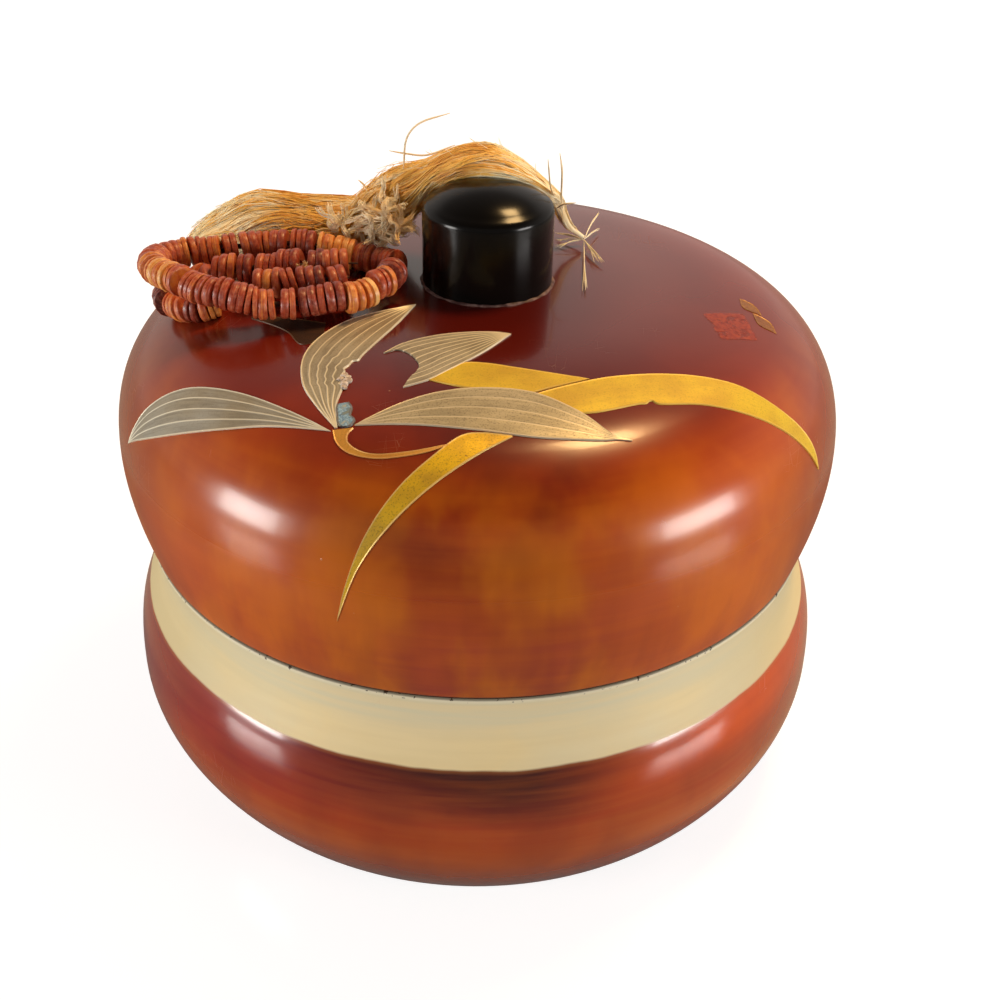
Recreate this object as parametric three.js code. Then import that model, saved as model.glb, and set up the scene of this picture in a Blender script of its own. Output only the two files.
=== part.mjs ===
// A round lacquered wooden trinket box with a bead strand and a fibre tassel lying on its lid.
// Millimetres, +Z up. The origin is the middle of the foot, and +X is to the right of the viewer,
// who looks along +Y. Outlines are drawn as [radius, height] and turned about the axis of the box.

import * as THREE from 'three';

// Driving sizes of the box
const FOOT_RADIUS = 54.8;
const BULGE_RADIUS = 66.0;
const BULGE_HEIGHT = 21.7;
const WAIST_RADIUS = 61.1;
const WAIST_HEIGHT = 42.6;
const SEAM_RADIUS = 61.9;
const SEAM_HEIGHT = 49.5;
const BASE_WALL = 3.4;
const FLOOR_THICKNESS = 4.0;
const RING_INNER_RADIUS = 47.0;
const FOOT_RECESS = 0.8;

// The lip that centres the lid
const LIP_OUTER_RADIUS = 59.2;
const LIP_INNER_RADIUS = 57.4;
const LIP_HEIGHT = 4.0;

// The lid
const TOUCH_GAP = 0.3;
const LIP_PLAY = 0.5;
const LID_RADIUS = 65.0;
const LID_WIDEST_HEIGHT = 67.2;
const LID_SHOULDER_RADIUS = 53.0;
const LID_SHOULDER_HEIGHT = 88.7;
const LID_SHOULDER_SLOPE = 0.5;
const LID_TOP = 93.4;
const LID_WALL = 3.0;
const EDGE_ROUNDING = 0.5;

// The knob stands a little to the right of the middle of the lid
const KNOB_OFFSET_X = 1.2;
const KNOB_RADIUS = 11.4;
const KNOB_SIDE_TOP = 106.2;
const KNOB_SHOULDER = 1.4;
const KNOB_TOP = 110.9;

// The strand of beads
const BEAD_RADIUS = 2.7;
const STRAND_SIDES = 8;
const STRAND_STEPS = 96;

// Smoothness of the turned pieces
const TURNED_FACETS = 52;
const KNOB_FACETS = 28;
const CURVE_STEPS = 5;

// Finishes, from the photographed colours
const brownLacquer = new THREE.MeshStandardMaterial({ color: 0x9c4a22, roughness: 0.22, metalness: 0 });
const blackLacquer = new THREE.MeshStandardMaterial({ color: 0x14110f, roughness: 0.2, metalness: 0 });
const beadShell = new THREE.MeshStandardMaterial({ color: 0xa04a28, roughness: 0.35, metalness: 0 });
const blondFibre = new THREE.MeshStandardMaterial({ color: 0xd9a860, roughness: 0.7, metalness: 0 });

// An outline is gathered from straight points and cubic curves, each curve continuing from the last point.
class Outline {
  constructor(radius, height) {
    this.points = [new THREE.Vector2(radius, height)];
  }

  lineTo(radius, height) {
    this.points.push(new THREE.Vector2(radius, height));
    return this;
  }

  curveTo(handleA, handleB, end, steps = CURVE_STEPS) {
    const curve = new THREE.CubicBezierCurve(
      this.points[this.points.length - 1],
      new THREE.Vector2(...handleA),
      new THREE.Vector2(...handleB),
      new THREE.Vector2(...end),
    );
    this.points.push(...curve.getPoints(steps).slice(1));
    return this;
  }
}

// Turns an outline about the upright axis. The outline runs from the axis back to the axis with the
// material on its left, which leaves the faces pointing out of the solid.
function turned(outline, facets) {
  const geometry = new THREE.LatheGeometry(outline.points, facets);
  return geometry.rotateX(Math.PI / 2);
}

// The bowl: foot ring, bulging flank, waist, ledge, lip, and the hollow inside.
function baseGeometry() {
  const innerBulge = BULGE_RADIUS - BASE_WALL;
  const lipTop = SEAM_HEIGHT + LIP_HEIGHT;
  const outline = new Outline(0, FOOT_RECESS)
    .lineTo(RING_INNER_RADIUS, FOOT_RECESS)
    .lineTo(RING_INNER_RADIUS + FOOT_RECESS, 0)
    .lineTo(FOOT_RADIUS, 0)
    .curveTo([58.5, 3.2], [BULGE_RADIUS, 12.4], [BULGE_RADIUS, BULGE_HEIGHT], 6)
    .curveTo([BULGE_RADIUS, 38.0], [WAIST_RADIUS, 35.8], [WAIST_RADIUS, WAIST_HEIGHT])
    .curveTo([WAIST_RADIUS, 45.0], [61.3, 47.4], [SEAM_RADIUS, SEAM_HEIGHT - EDGE_ROUNDING], 2)
    .lineTo(SEAM_RADIUS - EDGE_ROUNDING, SEAM_HEIGHT)
    .lineTo(LIP_OUTER_RADIUS, SEAM_HEIGHT)
    .lineTo(LIP_OUTER_RADIUS, lipTop - EDGE_ROUNDING)
    .lineTo(LIP_OUTER_RADIUS - EDGE_ROUNDING, lipTop)
    .lineTo(LIP_INNER_RADIUS, lipTop)
    .lineTo(LIP_INNER_RADIUS, WAIST_HEIGHT)
    .curveTo([LIP_INNER_RADIUS, 35.0], [innerBulge, 34.0], [innerBulge, BULGE_HEIGHT], 4)
    .curveTo([innerBulge, 13.5], [57.0, FLOOR_THICKNESS], [46.0, FLOOR_THICKNESS], 4)
    .lineTo(0, FLOOR_THICKNESS);
  return turned(outline, TURNED_FACETS);
}

// The domed lid. Its edge clears the ledge and the lip of the base by a hair.
function lidGeometry() {
  const edge = SEAM_HEIGHT + TOUCH_GAP;
  const innerEdge = LIP_OUTER_RADIUS + LIP_PLAY;
  const innerWidest = LID_RADIUS - LID_WALL;
  const innerTop = LID_TOP - LID_WALL;
  const rise = (length) => [LID_SHOULDER_RADIUS + length, LID_SHOULDER_HEIGHT - LID_SHOULDER_SLOPE * length];
  const outline = new Outline(0, innerTop)
    .curveTo([30, innerTop], [45.5, 88.6], [51.2, 85.9], 4)
    .curveTo([59.0, 82.1], [innerWidest, 76.2], [innerWidest, LID_WIDEST_HEIGHT], 4)
    .curveTo([innerWidest, 61.0], [innerEdge, 57.0], [innerEdge, edge], 3)
    .lineTo(SEAM_RADIUS - EDGE_ROUNDING, edge)
    .lineTo(SEAM_RADIUS, edge + EDGE_ROUNDING)
    .curveTo([63.4, 54.6], [LID_RADIUS, 61.3], [LID_RADIUS, LID_WIDEST_HEIGHT])
    .curveTo([LID_RADIUS, 77.4], rise(8.8), [LID_SHOULDER_RADIUS, LID_SHOULDER_HEIGHT], 6)
    .curveTo(rise(-6.0), [30, LID_TOP], [0, LID_TOP], 6);
  return turned(outline, TURNED_FACETS);
}

// The knob: straight side, small round shoulder and a domed top.
function knobGeometry() {
  const foot = LID_TOP + TOUCH_GAP;
  const outline = new Outline(0, foot)
    .lineTo(KNOB_RADIUS, foot)
    .lineTo(KNOB_RADIUS, KNOB_SIDE_TOP)
    .curveTo(
      [KNOB_RADIUS, KNOB_SIDE_TOP + 0.8],
      [KNOB_RADIUS - 0.4, KNOB_SIDE_TOP + 1.2],
      [KNOB_RADIUS - KNOB_SHOULDER, KNOB_SIDE_TOP + KNOB_SHOULDER + 0.2],
      3,
    )
    .curveTo([7.6, KNOB_TOP - 1.0], [3.6, KNOB_TOP], [0, KNOB_TOP], 5);
  return turned(outline, KNOB_FACETS).translate(KNOB_OFFSET_X, 0, 0);
}

// The middle line of the strand, as it lies. It starts at the tassel beside the knob, runs along the back,
// round the left end and along the front as the upper turn, then doubles back inside it as the lower turn.
const STRAND_ROUTE = [
  [-15.5, 6.4, 97.6],
  [-20.5, 7.0, 96.6],
  [-27.0, 6.9, 96.3],
  [-34.0, 6.4, 96.2],
  [-41.5, 4.8, 96.3],
  [-48.5, 4.0, 96.5],
  [-54.2, 1.8, 96.8],
  [-57.4, -3.0, 97.0],
  [-56.2, -8.0, 97.4],
  [-52.6, -12.6, 98.0],
  [-47.8, -16.6, 97.8],
  [-42.2, -17.8, 96.6],
  [-36.0, -17.5, 95.5],
  [-29.8, -16.9, 95.6],
  [-23.8, -15.0, 95.9],
  [-18.6, -12.0, 96.2],
  [-15.0, -7.6, 96.3],
  [-14.0, -3.2, 96.3],
  [-16.2, 0.1, 96.2],
  [-22.0, 0.9, 96.0],
  [-29.8, 0.6, 95.7],
  [-37.0, -0.6, 95.2],
  [-44.0, -1.6, 94.3],
  [-50.0, -1.9, 93.0],
  [-54.8, -2.6, 91.5],
  [-57.9, -5.6, 90.3],
  [-57.5, -9.4, 90.4],
  [-54.4, -12.0, 91.3],
  [-50.0, -12.7, 92.5],
  [-45.6, -12.4, 93.6],
  [-41.0, -11.8, 94.5],
  [-36.4, -11.3, 95.1],
  [-31.0, -10.4, 95.6],
  [-26.2, -8.6, 95.9],
  [-22.2, -5.9, 96.1],
];

// The strand as one round body of the beads' diameter, because neighbouring beads touch face to face.
function strandGeometry() {
  const route = new THREE.CatmullRomCurve3(STRAND_ROUTE.map((p) => new THREE.Vector3(...p)));
  const section = new THREE.Shape();
  for (let side = 0; side < STRAND_SIDES; side += 1) {
    const turn = (2 * Math.PI * side) / STRAND_SIDES;
    const corner = [BEAD_RADIUS * Math.cos(turn), BEAD_RADIUS * Math.sin(turn)];
    if (side === 0) {
      section.moveTo(...corner);
    } else {
      section.lineTo(...corner);
    }
  }
  section.closePath();
  return new THREE.ExtrudeGeometry(section, { steps: STRAND_STEPS, bevelEnabled: false, extrudePath: route });
}

// Stations along the tassel: middle point, half width across the bundle and half height.
const TASSEL_STATIONS = [
  { at: [-54.0, 14.5, 91.6], wide: 1.2, high: 1.0 },
  { at: [-50.5, 16.0, 93.3], wide: 4.0, high: 2.8 },
  { at: [-46.0, 17.2, 95.0], wide: 6.2, high: 4.2 },
  { at: [-39.5, 17.9, 96.6], wide: 7.4, high: 4.8 },
  { at: [-32.5, 17.8, 97.2], wide: 7.4, high: 4.6 },
  { at: [-26.0, 17.0, 97.9], wide: 6.6, high: 4.6 },
  { at: [-20.5, 14.6, 99.3], wide: 5.2, high: 4.6 },
  { at: [-16.6, 12.2, 101.6], wide: 4.2, high: 4.0 },
  { at: [-13.0, 10.8, 104.8], wide: 3.8, high: 3.4 },
  { at: [-9.2, 10.4, 108.8], wide: 3.8, high: 2.8 },
  { at: [-3.8, 9.2, 111.9], wide: 4.4, high: 2.5 },
  { at: [1.4, 8.2, 113.2], wide: 4.6, high: 2.3 },
  { at: [6.6, 8.8, 111.3], wide: 3.8, high: 2.0 },
  { at: [10.9, 10.2, 107.8], wide: 2.6, high: 1.6 },
  { at: [13.4, 10.0, 104.0], wide: 1.6, high: 1.2 },
  { at: [15.4, 9.2, 99.2], wide: 0.9, high: 0.8 },
  { at: [17.6, 9.4, 97.0], wide: 0.6, high: 0.6 },
];
const TASSEL_SIDES = 10;
const TASSEL_STEPS = 34;

// The fibre bundle, lofted through its stations and closed at both ends.
function tasselGeometry() {
  const middle = new THREE.CatmullRomCurve3(TASSEL_STATIONS.map((s) => new THREE.Vector3(...s.at)));
  const girth = new THREE.CatmullRomCurve3(TASSEL_STATIONS.map((s) => new THREE.Vector3(s.wide, s.high, 0)));
  const up = new THREE.Vector3(0, 0, 1);
  const vertices = [];
  for (let step = 0; step <= TASSEL_STEPS; step += 1) {
    const along = step / TASSEL_STEPS;
    const centre = middle.getPoint(along);
    const size = girth.getPoint(along);
    const ahead = middle.getTangent(along);
    const across = new THREE.Vector3().crossVectors(up, ahead).normalize();
    const rise = new THREE.Vector3().crossVectors(ahead, across);
    for (let side = 0; side < TASSEL_SIDES; side += 1) {
      const turn = (2 * Math.PI * side) / TASSEL_SIDES;
      const corner = centre
        .clone()
        .addScaledVector(across, size.x * Math.cos(turn))
        .addScaledVector(rise, size.y * Math.sin(turn));
      vertices.push(corner);
    }
  }
  const first = vertices.push(middle.getPoint(0)) - 1;
  const last = vertices.push(middle.getPoint(1)) - 1;
  const faces = [];
  for (let step = 0; step < TASSEL_STEPS; step += 1) {
    for (let side = 0; side < TASSEL_SIDES; side += 1) {
      const a = step * TASSEL_SIDES + side;
      const b = step * TASSEL_SIDES + ((side + 1) % TASSEL_SIDES);
      faces.push(a, b, b + TASSEL_SIDES, a, b + TASSEL_SIDES, a + TASSEL_SIDES);
    }
  }
  const lastRing = TASSEL_STEPS * TASSEL_SIDES;
  for (let side = 0; side < TASSEL_SIDES; side += 1) {
    const next = (side + 1) % TASSEL_SIDES;
    faces.push(first, next, side, last, lastRing + side, lastRing + next);
  }
  const geometry = new THREE.BufferGeometry().setFromPoints(vertices);
  geometry.setIndex(faces);
  geometry.computeVertexNormals();
  return geometry;
}

function piece(name, geometry, material) {
  const mesh = new THREE.Mesh(geometry, material);
  mesh.name = name;
  return mesh;
}

const box = new THREE.Group();
box.add(
  piece('box_base', baseGeometry(), brownLacquer),
  piece('lid', lidGeometry(), brownLacquer),
  piece('knob', knobGeometry(), blackLacquer),
  piece('bead_strand', strandGeometry(), beadShell),
  piece('fibre_tassel', tasselGeometry(), blondFibre),
);

export default box;
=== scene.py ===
# %% [markdown]
# # A lacquered trinket box with a bead strand and a tassel on its lid
#
# The real object is a round turned box of thin wood under amber and red-brown lacquer. Its lid carries
# inlaid silver leaves and gold grass blades, and a plain black knob. A strand of flat beads and a fibre
# tassel lie on the lid. The solids of the box are already fixed, so this lesson makes their finished
# surfaces in the same place and at the same size. Sizes are read in millimetres and modelled in metres.

import bisect
import math
import random

import bmesh
import bpy
from mathutils import Matrix, Vector, noise
from mathutils.geometry import interpolate_bezier


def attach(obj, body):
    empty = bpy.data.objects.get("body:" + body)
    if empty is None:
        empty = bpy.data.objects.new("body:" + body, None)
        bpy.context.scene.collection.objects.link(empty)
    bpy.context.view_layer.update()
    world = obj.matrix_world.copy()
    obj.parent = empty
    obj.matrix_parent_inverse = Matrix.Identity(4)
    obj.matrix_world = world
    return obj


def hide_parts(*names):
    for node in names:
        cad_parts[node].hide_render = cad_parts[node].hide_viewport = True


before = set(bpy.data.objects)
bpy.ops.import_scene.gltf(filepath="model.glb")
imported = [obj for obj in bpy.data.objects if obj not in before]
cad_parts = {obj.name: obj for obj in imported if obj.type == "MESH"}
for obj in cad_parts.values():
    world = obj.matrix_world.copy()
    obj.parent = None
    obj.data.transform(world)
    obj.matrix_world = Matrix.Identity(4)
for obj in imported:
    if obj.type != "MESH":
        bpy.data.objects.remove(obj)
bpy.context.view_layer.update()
MM = 0.001

# %% [markdown]
# ## Camera
#
# The photograph looks down on the box from a little above it, at arm's length. A camera is a place, a
# direction to look along and a lens. Turning the direction into a rotation and then rolling the camera
# about its own line of sight is simpler than juggling three angles.

# %% Camera
CAMERA_PLACE = (0.0, -227.12, 193.03)
CAMERA_DIRECTION = (0.0159, 0.841, -0.5408)
CAMERA_ROLL = 1.254
CAMERA_LENS = 50.0


def add_camera():
    """Stands the camera where the photograph was taken from."""
    camera = bpy.data.objects.new("camera", bpy.data.cameras.new("camera"))
    camera.data.lens = CAMERA_LENS
    camera.data.sensor_width = 36.0
    camera.data.clip_start = 0.01
    camera.location = Vector(CAMERA_PLACE) * MM
    aim = Vector(CAMERA_DIRECTION).to_track_quat("-Z", "Y").to_matrix()
    camera.rotation_euler = (aim @ Matrix.Rotation(math.radians(CAMERA_ROLL), 3, "Z")).to_euler()
    bpy.context.collection.objects.link(camera)
    bpy.context.scene.camera = camera
    return camera


camera = add_camera()
print("camera at", [round(v, 3) for v in camera.location])

# %% [markdown]
# ## Small tools for shader nodes
#
# Every finish here is built from procedural nodes. Writing `tree.nodes.new` and `links.new` again and
# again hides the idea behind the wiring, so four small helpers do it: one adds any node and connects it,
# one does a sum, one blends colours, and one turns a value into a soft mask.

# %% Helpers for shader nodes
def srgb(red, green, blue):
    """A colour as the eye reads it on a screen, 0 to 255, turned into the linear colour shaders use."""
    def linear(value):
        share = value / 255
        return share / 12.92 if share <= 0.04045 else ((share + 0.055) / 1.055) ** 2.4
    return (linear(red), linear(green), linear(blue), 1.0)


def feed(tree, node, inputs):
    """Fills each named input of a node with a value, or links it to a socket."""
    for key, value in inputs.items():
        if isinstance(value, bpy.types.NodeSocket):
            tree.links.new(value, node.inputs[key])
        else:
            node.inputs[key].default_value = value


def add_node(tree, kind, inputs=None, **settings):
    """Adds a shader node, applies its settings, and fills or links its inputs."""
    node = tree.nodes.new("ShaderNode" + kind)
    for name, value in settings.items():
        setattr(node, name, value)
    feed(tree, node, inputs or {})
    return node


def sum_of(tree, operation, *values):
    """The result of one Math node."""
    return add_node(tree, "Math", dict(enumerate(values)), operation=operation).outputs[0]


def blend(tree, factor, below, above, blend_type="MIX"):
    """Lays one colour over another by a factor."""
    mix = add_node(tree, "Mix", {0: factor, 6: below, 7: above}, data_type="RGBA", blend_type=blend_type)
    return mix.outputs[2]


def mask(tree, value, start, end):
    """Rises softly from 0 at start to 1 at end, or falls where end is the lower one."""
    low, high = min(start, end), max(start, end)
    rising = start < end
    inputs = {0: value, 1: low, 2: high, 3: 0.0 if rising else 1.0, 4: 1.0 if rising else 0.0}
    return add_node(tree, "MapRange", inputs, interpolation_type="SMOOTHSTEP").outputs[0]


def ramp(tree, factor, stops):
    """A colour ramp from (position, colour) pairs."""
    node = add_node(tree, "ValToRGB", {0: factor})
    elements = node.color_ramp.elements
    while len(elements) < len(stops):
        elements.new(1.0)
    for element, (position, colour) in zip(elements, stops):
        element.position = position
        element.color = colour
    return node.outputs[0]


def new_material(name):
    """An empty material with a Principled shader in it."""
    material = bpy.data.materials.new(name)
    material.use_nodes = True
    tree = material.node_tree
    shader = tree.nodes["Principled BSDF"]
    return material, tree, shader


def attribute(tree, name):
    """The value stored on the mesh under a name."""
    return add_node(tree, "Attribute", attribute_name=name).outputs["Fac"]


# %% [markdown]
# ## Floor and light
#
# The box stands on a plain pale surface. Lacquer is shown by what it reflects, so the light matters more
# than usual: two tall panels, one at each side and a little behind the viewer, give the long soft
# highlights on the flanks, a small warm lamp overhead gives the spots on the knob and shoulder, and a
# pale low surrounding that grows dimmer overhead gives the milky sheen on the back of the lid.

# %% Floor
FLOOR_HALF = 1.6


def add_floor():
    """A wide pale floor that fades into the surroundings."""
    plane = bmesh.new()
    bmesh.ops.create_grid(plane, x_segments=1, y_segments=1, size=FLOOR_HALF)
    mesh = bpy.data.meshes.new("floor")
    plane.to_mesh(mesh)
    plane.free()
    material, tree, shader = new_material("floor_paper")
    shader.inputs["Base Color"].default_value = (0.42, 0.41, 0.40, 1)
    shader.inputs["Roughness"].default_value = 0.17
    seen = add_node(tree, "LightPath").outputs["Is Camera Ray"]
    tree.links.new(blend(tree, seen, (0, 0, 0, 1), (1.0, 1.0, 1.0, 1)), shader.inputs["Emission Color"])
    shader.inputs["Emission Strength"].default_value = 0.82
    mesh.materials.append(material)
    floor = bpy.data.objects.new("floor", mesh)
    bpy.context.collection.objects.link(floor)
    return floor


floor = add_floor()
print("floor is", 2 * FLOOR_HALF, "m wide")

# %% Light
PANEL_DISTANCE = 0.5


def add_panel(name, azimuth, elevation, wide, tall, power, colour):
    """A soft panel that faces the box, from a direction clockwise from straight ahead."""
    turn, lift = math.radians(azimuth), math.radians(elevation)
    away = Vector((math.sin(turn) * math.cos(lift), math.cos(turn) * math.cos(lift), math.sin(lift)))
    lamp = bpy.data.lights.new(name, "AREA")
    lamp.shape = "RECTANGLE"
    lamp.size = wide
    lamp.size_y = tall
    lamp.energy = power
    lamp.color = colour
    panel = bpy.data.objects.new(name, lamp)
    panel.location = Vector((0, 0, 0.06)) + away * PANEL_DISTANCE
    panel.rotation_euler = away.to_track_quat("Z", "Y").to_euler()
    panel.visible_camera = False
    bpy.context.collection.objects.link(panel)
    return panel


def add_surroundings():
    """A pale surrounding that is bright near the horizon and dim overhead."""
    world = bpy.data.worlds.new("studio")
    bpy.context.scene.world = world
    world.use_nodes = True
    tree = world.node_tree
    direction = add_node(tree, "SeparateXYZ", {0: add_node(tree, "TexCoord").outputs["Generated"]})
    shade = ramp(tree, direction.outputs["Z"], [
        (0.0, (1.0, 0.97, 0.94, 1)),
        (0.50, (0.92, 0.90, 0.88, 1)),
        (0.66, (0.36, 0.35, 0.35, 1)),
        (1.0, (0.22, 0.215, 0.21, 1)),
    ])
    behind = mask(tree, direction.outputs["Y"], -0.7, 0.6)
    facing = blend(tree, behind, (0.36, 0.355, 0.35, 1), (1.0, 0.93, 0.88, 1))
    background = tree.nodes["Background"]
    lighting = blend(tree, 1.0, shade, facing, "MULTIPLY")
    seen = add_node(tree, "LightPath").outputs["Is Camera Ray"]
    tree.links.new(blend(tree, seen, lighting, (1.2, 1.2, 1.2, 1)), background.inputs["Color"])
    background.inputs["Strength"].default_value = 0.70
    return world


left_panel = add_panel("left_panel", -115, 5, 0.165, 0.135, 1.5, (1.0, 0.97, 0.93))
right_panel = add_panel("right_panel", 117, 6, 0.21, 0.115, 1.42, (1.0, 0.97, 0.94))
overhead_lamp = add_panel("overhead_lamp", 58, 68, 0.11, 0.11, 1.85, (1.0, 0.64, 0.27))
add_surroundings()
bpy.context.scene.view_settings.view_transform = "Standard"
print("lamps:", left_panel.name, right_panel.name, overhead_lamp.name)

# %% [markdown]
# ## Turning an outline
#
# A lathe-turned box is one outline carried round an axis. The outline is gathered from straight points
# and cubic curves, exactly as a turner's template would be drawn, and `bmesh.ops.spin` carries it round.
# A full spin leaves doubled points on the axis, so they are merged before the normals are recalculated.

# %% Helpers for turned shapes
CURVE_STEPS = 22
TURNED_SEGMENTS = 192


def bend(start, handle_a, handle_b, end, steps=CURVE_STEPS):
    """The points of a cubic curve after its start, as (radius, height) in millimetres."""
    corners = [Vector((r, 0, z)) for r, z in (start, handle_a, handle_b, end)]
    return [(p.x, p.z) for p in interpolate_bezier(*corners, steps + 1)[1:]]


def finish_mesh(shape, name, materials, sharp_degrees=40):
    """Turns a bmesh into a smooth-shaded object that rides on the box."""
    mesh = bpy.data.meshes.new(name)
    for face in shape.faces:
        face.smooth = True
    shape.to_mesh(mesh)
    shape.free()
    mesh.set_sharp_from_angle(angle=math.radians(sharp_degrees))
    for material in materials:
        mesh.materials.append(material)
    piece = bpy.data.objects.new(name, mesh)
    bpy.context.collection.objects.link(piece)
    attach(piece, "root")
    print(name, "has", len(mesh.polygons), "faces")
    return piece


def turn_parts(parts, segments=TURNED_SEGMENTS, centre_x=0.0):
    """Carries outlines of (radius, height) points round an upright axis; each is (outline, material number)."""
    shape = bmesh.new()
    for outline, finish in parts:
        known = len(shape.faces)
        points = [shape.verts.new((r * MM, 0, z * MM)) for r, z in outline]
        edges = [shape.edges.new(pair) for pair in zip(points, points[1:])]
        bmesh.ops.spin(
            shape, geom=points + edges, cent=(0, 0, 0), axis=(0, 0, 1),
            angle=math.tau, steps=segments, use_merge=True,
        )
        shape.faces.ensure_lookup_table()
        for face in shape.faces[known:]:
            face.material_index = finish
    bmesh.ops.remove_doubles(shape, verts=shape.verts, dist=0.001 * MM)
    bmesh.ops.recalc_face_normals(shape, faces=shape.faces)
    bmesh.ops.translate(shape, verts=shape.verts, vec=(centre_x * MM, 0, 0))
    return shape


# %% Outline of the base
SEAM_HEIGHT = 49.5
FOOT_RECESS = 0.8
WAIST = (61.1, 42.6)
BULGE = (66.0, 21.7)


def base_outside():
    """The outside of the base: foot edge, bulge, waist, and the shoulder at the seam."""
    outline = [(54.0, 0)]
    outline += bend(outline[-1], (54.5, 0), (54.8, 0), (55.2, 0.35), 3)
    outline += bend(outline[-1], (58.7, 3.4), (BULGE[0], 12.4), BULGE)
    outline += bend(BULGE, (BULGE[0], 38.0), (WAIST[0], 35.8), WAIST)
    outline += bend(WAIST, (WAIST[0], 45.0), (61.3, 47.4), (61.85, SEAM_HEIGHT - 0.5), 8)
    outline += bend(outline[-1], (61.95, 49.3), (61.75, SEAM_HEIGHT), (61.4, SEAM_HEIGHT), 4)
    return outline


def base_inside():
    """The ledge and lip that the lid drops over, then the hollow."""
    outline = [(61.4, SEAM_HEIGHT), (59.2, SEAM_HEIGHT), (59.2, 53.0)]
    outline += bend(outline[-1], (59.2, 53.4), (59.0, 53.5), (58.7, 53.5), 3)
    outline += [(57.9, 53.5)]
    outline += bend(outline[-1], (57.6, 53.5), (57.4, 53.4), (57.4, 53.1), 3)
    outline += [(57.4, WAIST[1])]
    outline += bend(outline[-1], (57.4, 35.0), (62.6, 34.0), (62.6, BULGE[1]))
    outline += bend(outline[-1], (62.6, 13.5), (57.0, 4.0), (46.0, 4.0))
    outline += [(0, 4.0)]
    return outline


def under_foot():
    """The recessed underside and the ring that the box stands on."""
    outline = [(0, FOOT_RECESS), (46.6, FOOT_RECESS)]
    outline += bend(outline[-1], (47.2, FOOT_RECESS), (47.4, 0), (48.2, 0), 4)
    outline += [(54.0, 0)]
    return outline


print("base outlines have", len(base_outside() + base_inside() + under_foot()), "points")

# %% Outline of the lid
LID_EDGE = 49.8
LID_WIDEST = (65.0, 67.2)
LID_SHOULDER = (53.0, 88.7)
LID_TOP = 93.4
UNDER_LID_TOP = 90.4


def lid_outside():
    """The outside of the lid, from the seam up to the crown."""
    line = [(61.4, LID_EDGE)]
    line += bend(line[-1], (61.7, LID_EDGE), (61.85, 49.95), (61.98, 50.3), 4)
    line += bend(line[-1], (63.4, 54.6), (LID_WIDEST[0], 61.3), LID_WIDEST)
    line += bend(LID_WIDEST, (LID_WIDEST[0], 77.4), (61.8, 84.3), LID_SHOULDER)
    line += bend(LID_SHOULDER, (47.0, 91.7), (30.0, LID_TOP), (0.0, LID_TOP), 40)
    return line


def lid_inside():
    """The underside of the lid, from the crown down to the edge that drops over the lip."""
    line = [(0.0, UNDER_LID_TOP)]
    line += bend(line[-1], (30.0, UNDER_LID_TOP), (45.5, 88.6), (51.2, 85.9))
    line += bend(line[-1], (59.0, 82.1), (62.0, 76.2), (62.0, LID_WIDEST[1]))
    line += bend(line[-1], (62.0, 61.0), (59.7, 57.0), (59.7, LID_EDGE + 0.2))
    line += [(59.9, LID_EDGE), (61.4, LID_EDGE)]
    return line


print("lid outline has", len(lid_inside() + lid_outside()), "points")

# %% [markdown]
# ## Brushed, clouded lacquer
#
# Amber lacquer is laid on by brush over a pale ground, so it pools into clouds, keeps faint level brush
# streaks, and shows upright wipe marks low on the side. Four noise patterns can stand for those: the
# same noise looks like clouds, level streaks or upright smears when its coordinates are squeezed along
# one axis. They go into one node group so that the lid and the base share them.

# %% Node group for brushwork
def new_group(name, inputs, outputs):
    """An empty node group with float inputs (name: value) and float outputs."""
    group = bpy.data.node_groups.new(name, "ShaderNodeTree")
    for label, value in inputs.items():
        socket = group.interface.new_socket(label, in_out="INPUT", socket_type="NodeSocketFloat")
        socket.default_value = value
    for label in outputs:
        group.interface.new_socket(label, in_out="OUTPUT", socket_type="NodeSocketFloat")
    return group, group.nodes.new("NodeGroupInput"), group.nodes.new("NodeGroupOutput")


def in_mm(tree, stretch=(1, 1, 1)):
    """Object coordinates in millimetres, stretched along an axis if wanted."""
    point = add_node(tree, "TexCoord").outputs["Object"]
    scale = tuple(s / MM for s in stretch)
    return add_node(tree, "VectorMath", {0: point, 1: scale}, operation="MULTIPLY").outputs[0]


def noise_of(tree, point, per_mm, detail=3.0, roughness=0.5, distortion=0.0):
    """The value of a noise texture, with its scale in cycles per millimetre."""
    inputs = {
        "Vector": point, "Scale": per_mm, "Detail": detail, "Roughness": roughness, "Distortion": distortion,
    }
    return add_node(tree, "TexNoise", inputs).outputs["Fac"]


def make_brushwork():
    """Clouds, level streaks, upright smears and pooled patches, each from 0 to 1."""
    group, start, end = new_group("Brushwork", {"Scale": 1.0}, ["Clouds", "Streaks", "Smears", "Pools"])
    patterns = {
        "Clouds": ((1, 1, 1.3), 0.035, 4.0, 0.3, 0.7),
        "Streaks": ((0.16, 0.16, 2.6), 0.22, 4.0, 0.32, 0.7),
        "Smears": ((1.5, 1.5, 0.22), 0.16, 3.0, 0.36, 0.66),
        "Pools": ((1.0, 1.0, 0.55), 0.075, 3.0, 0.40, 0.66),
    }
    for label, (stretch, per_mm, detail, low, high) in patterns.items():
        scale = sum_of(group, "MULTIPLY", start.outputs["Scale"], per_mm)
        value = noise_of(group, in_mm(group, stretch), scale, detail, distortion=0.25)
        group.links.new(mask(group, value, low, high), end.inputs[label])
    return group


brushwork = make_brushwork()
print("group", brushwork.name, "is ready")

# %% [markdown]
# ## Wear from handling
#
# An old lacquer box has hairline scratches, tiny pale nicks and dust specks. Stretched cells make short
# straight scratches, and small round cells make specks; both are thinned out by a slow noise so that
# they come in groups, as real wear does. The group also gives a height for a Bump node.

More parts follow.
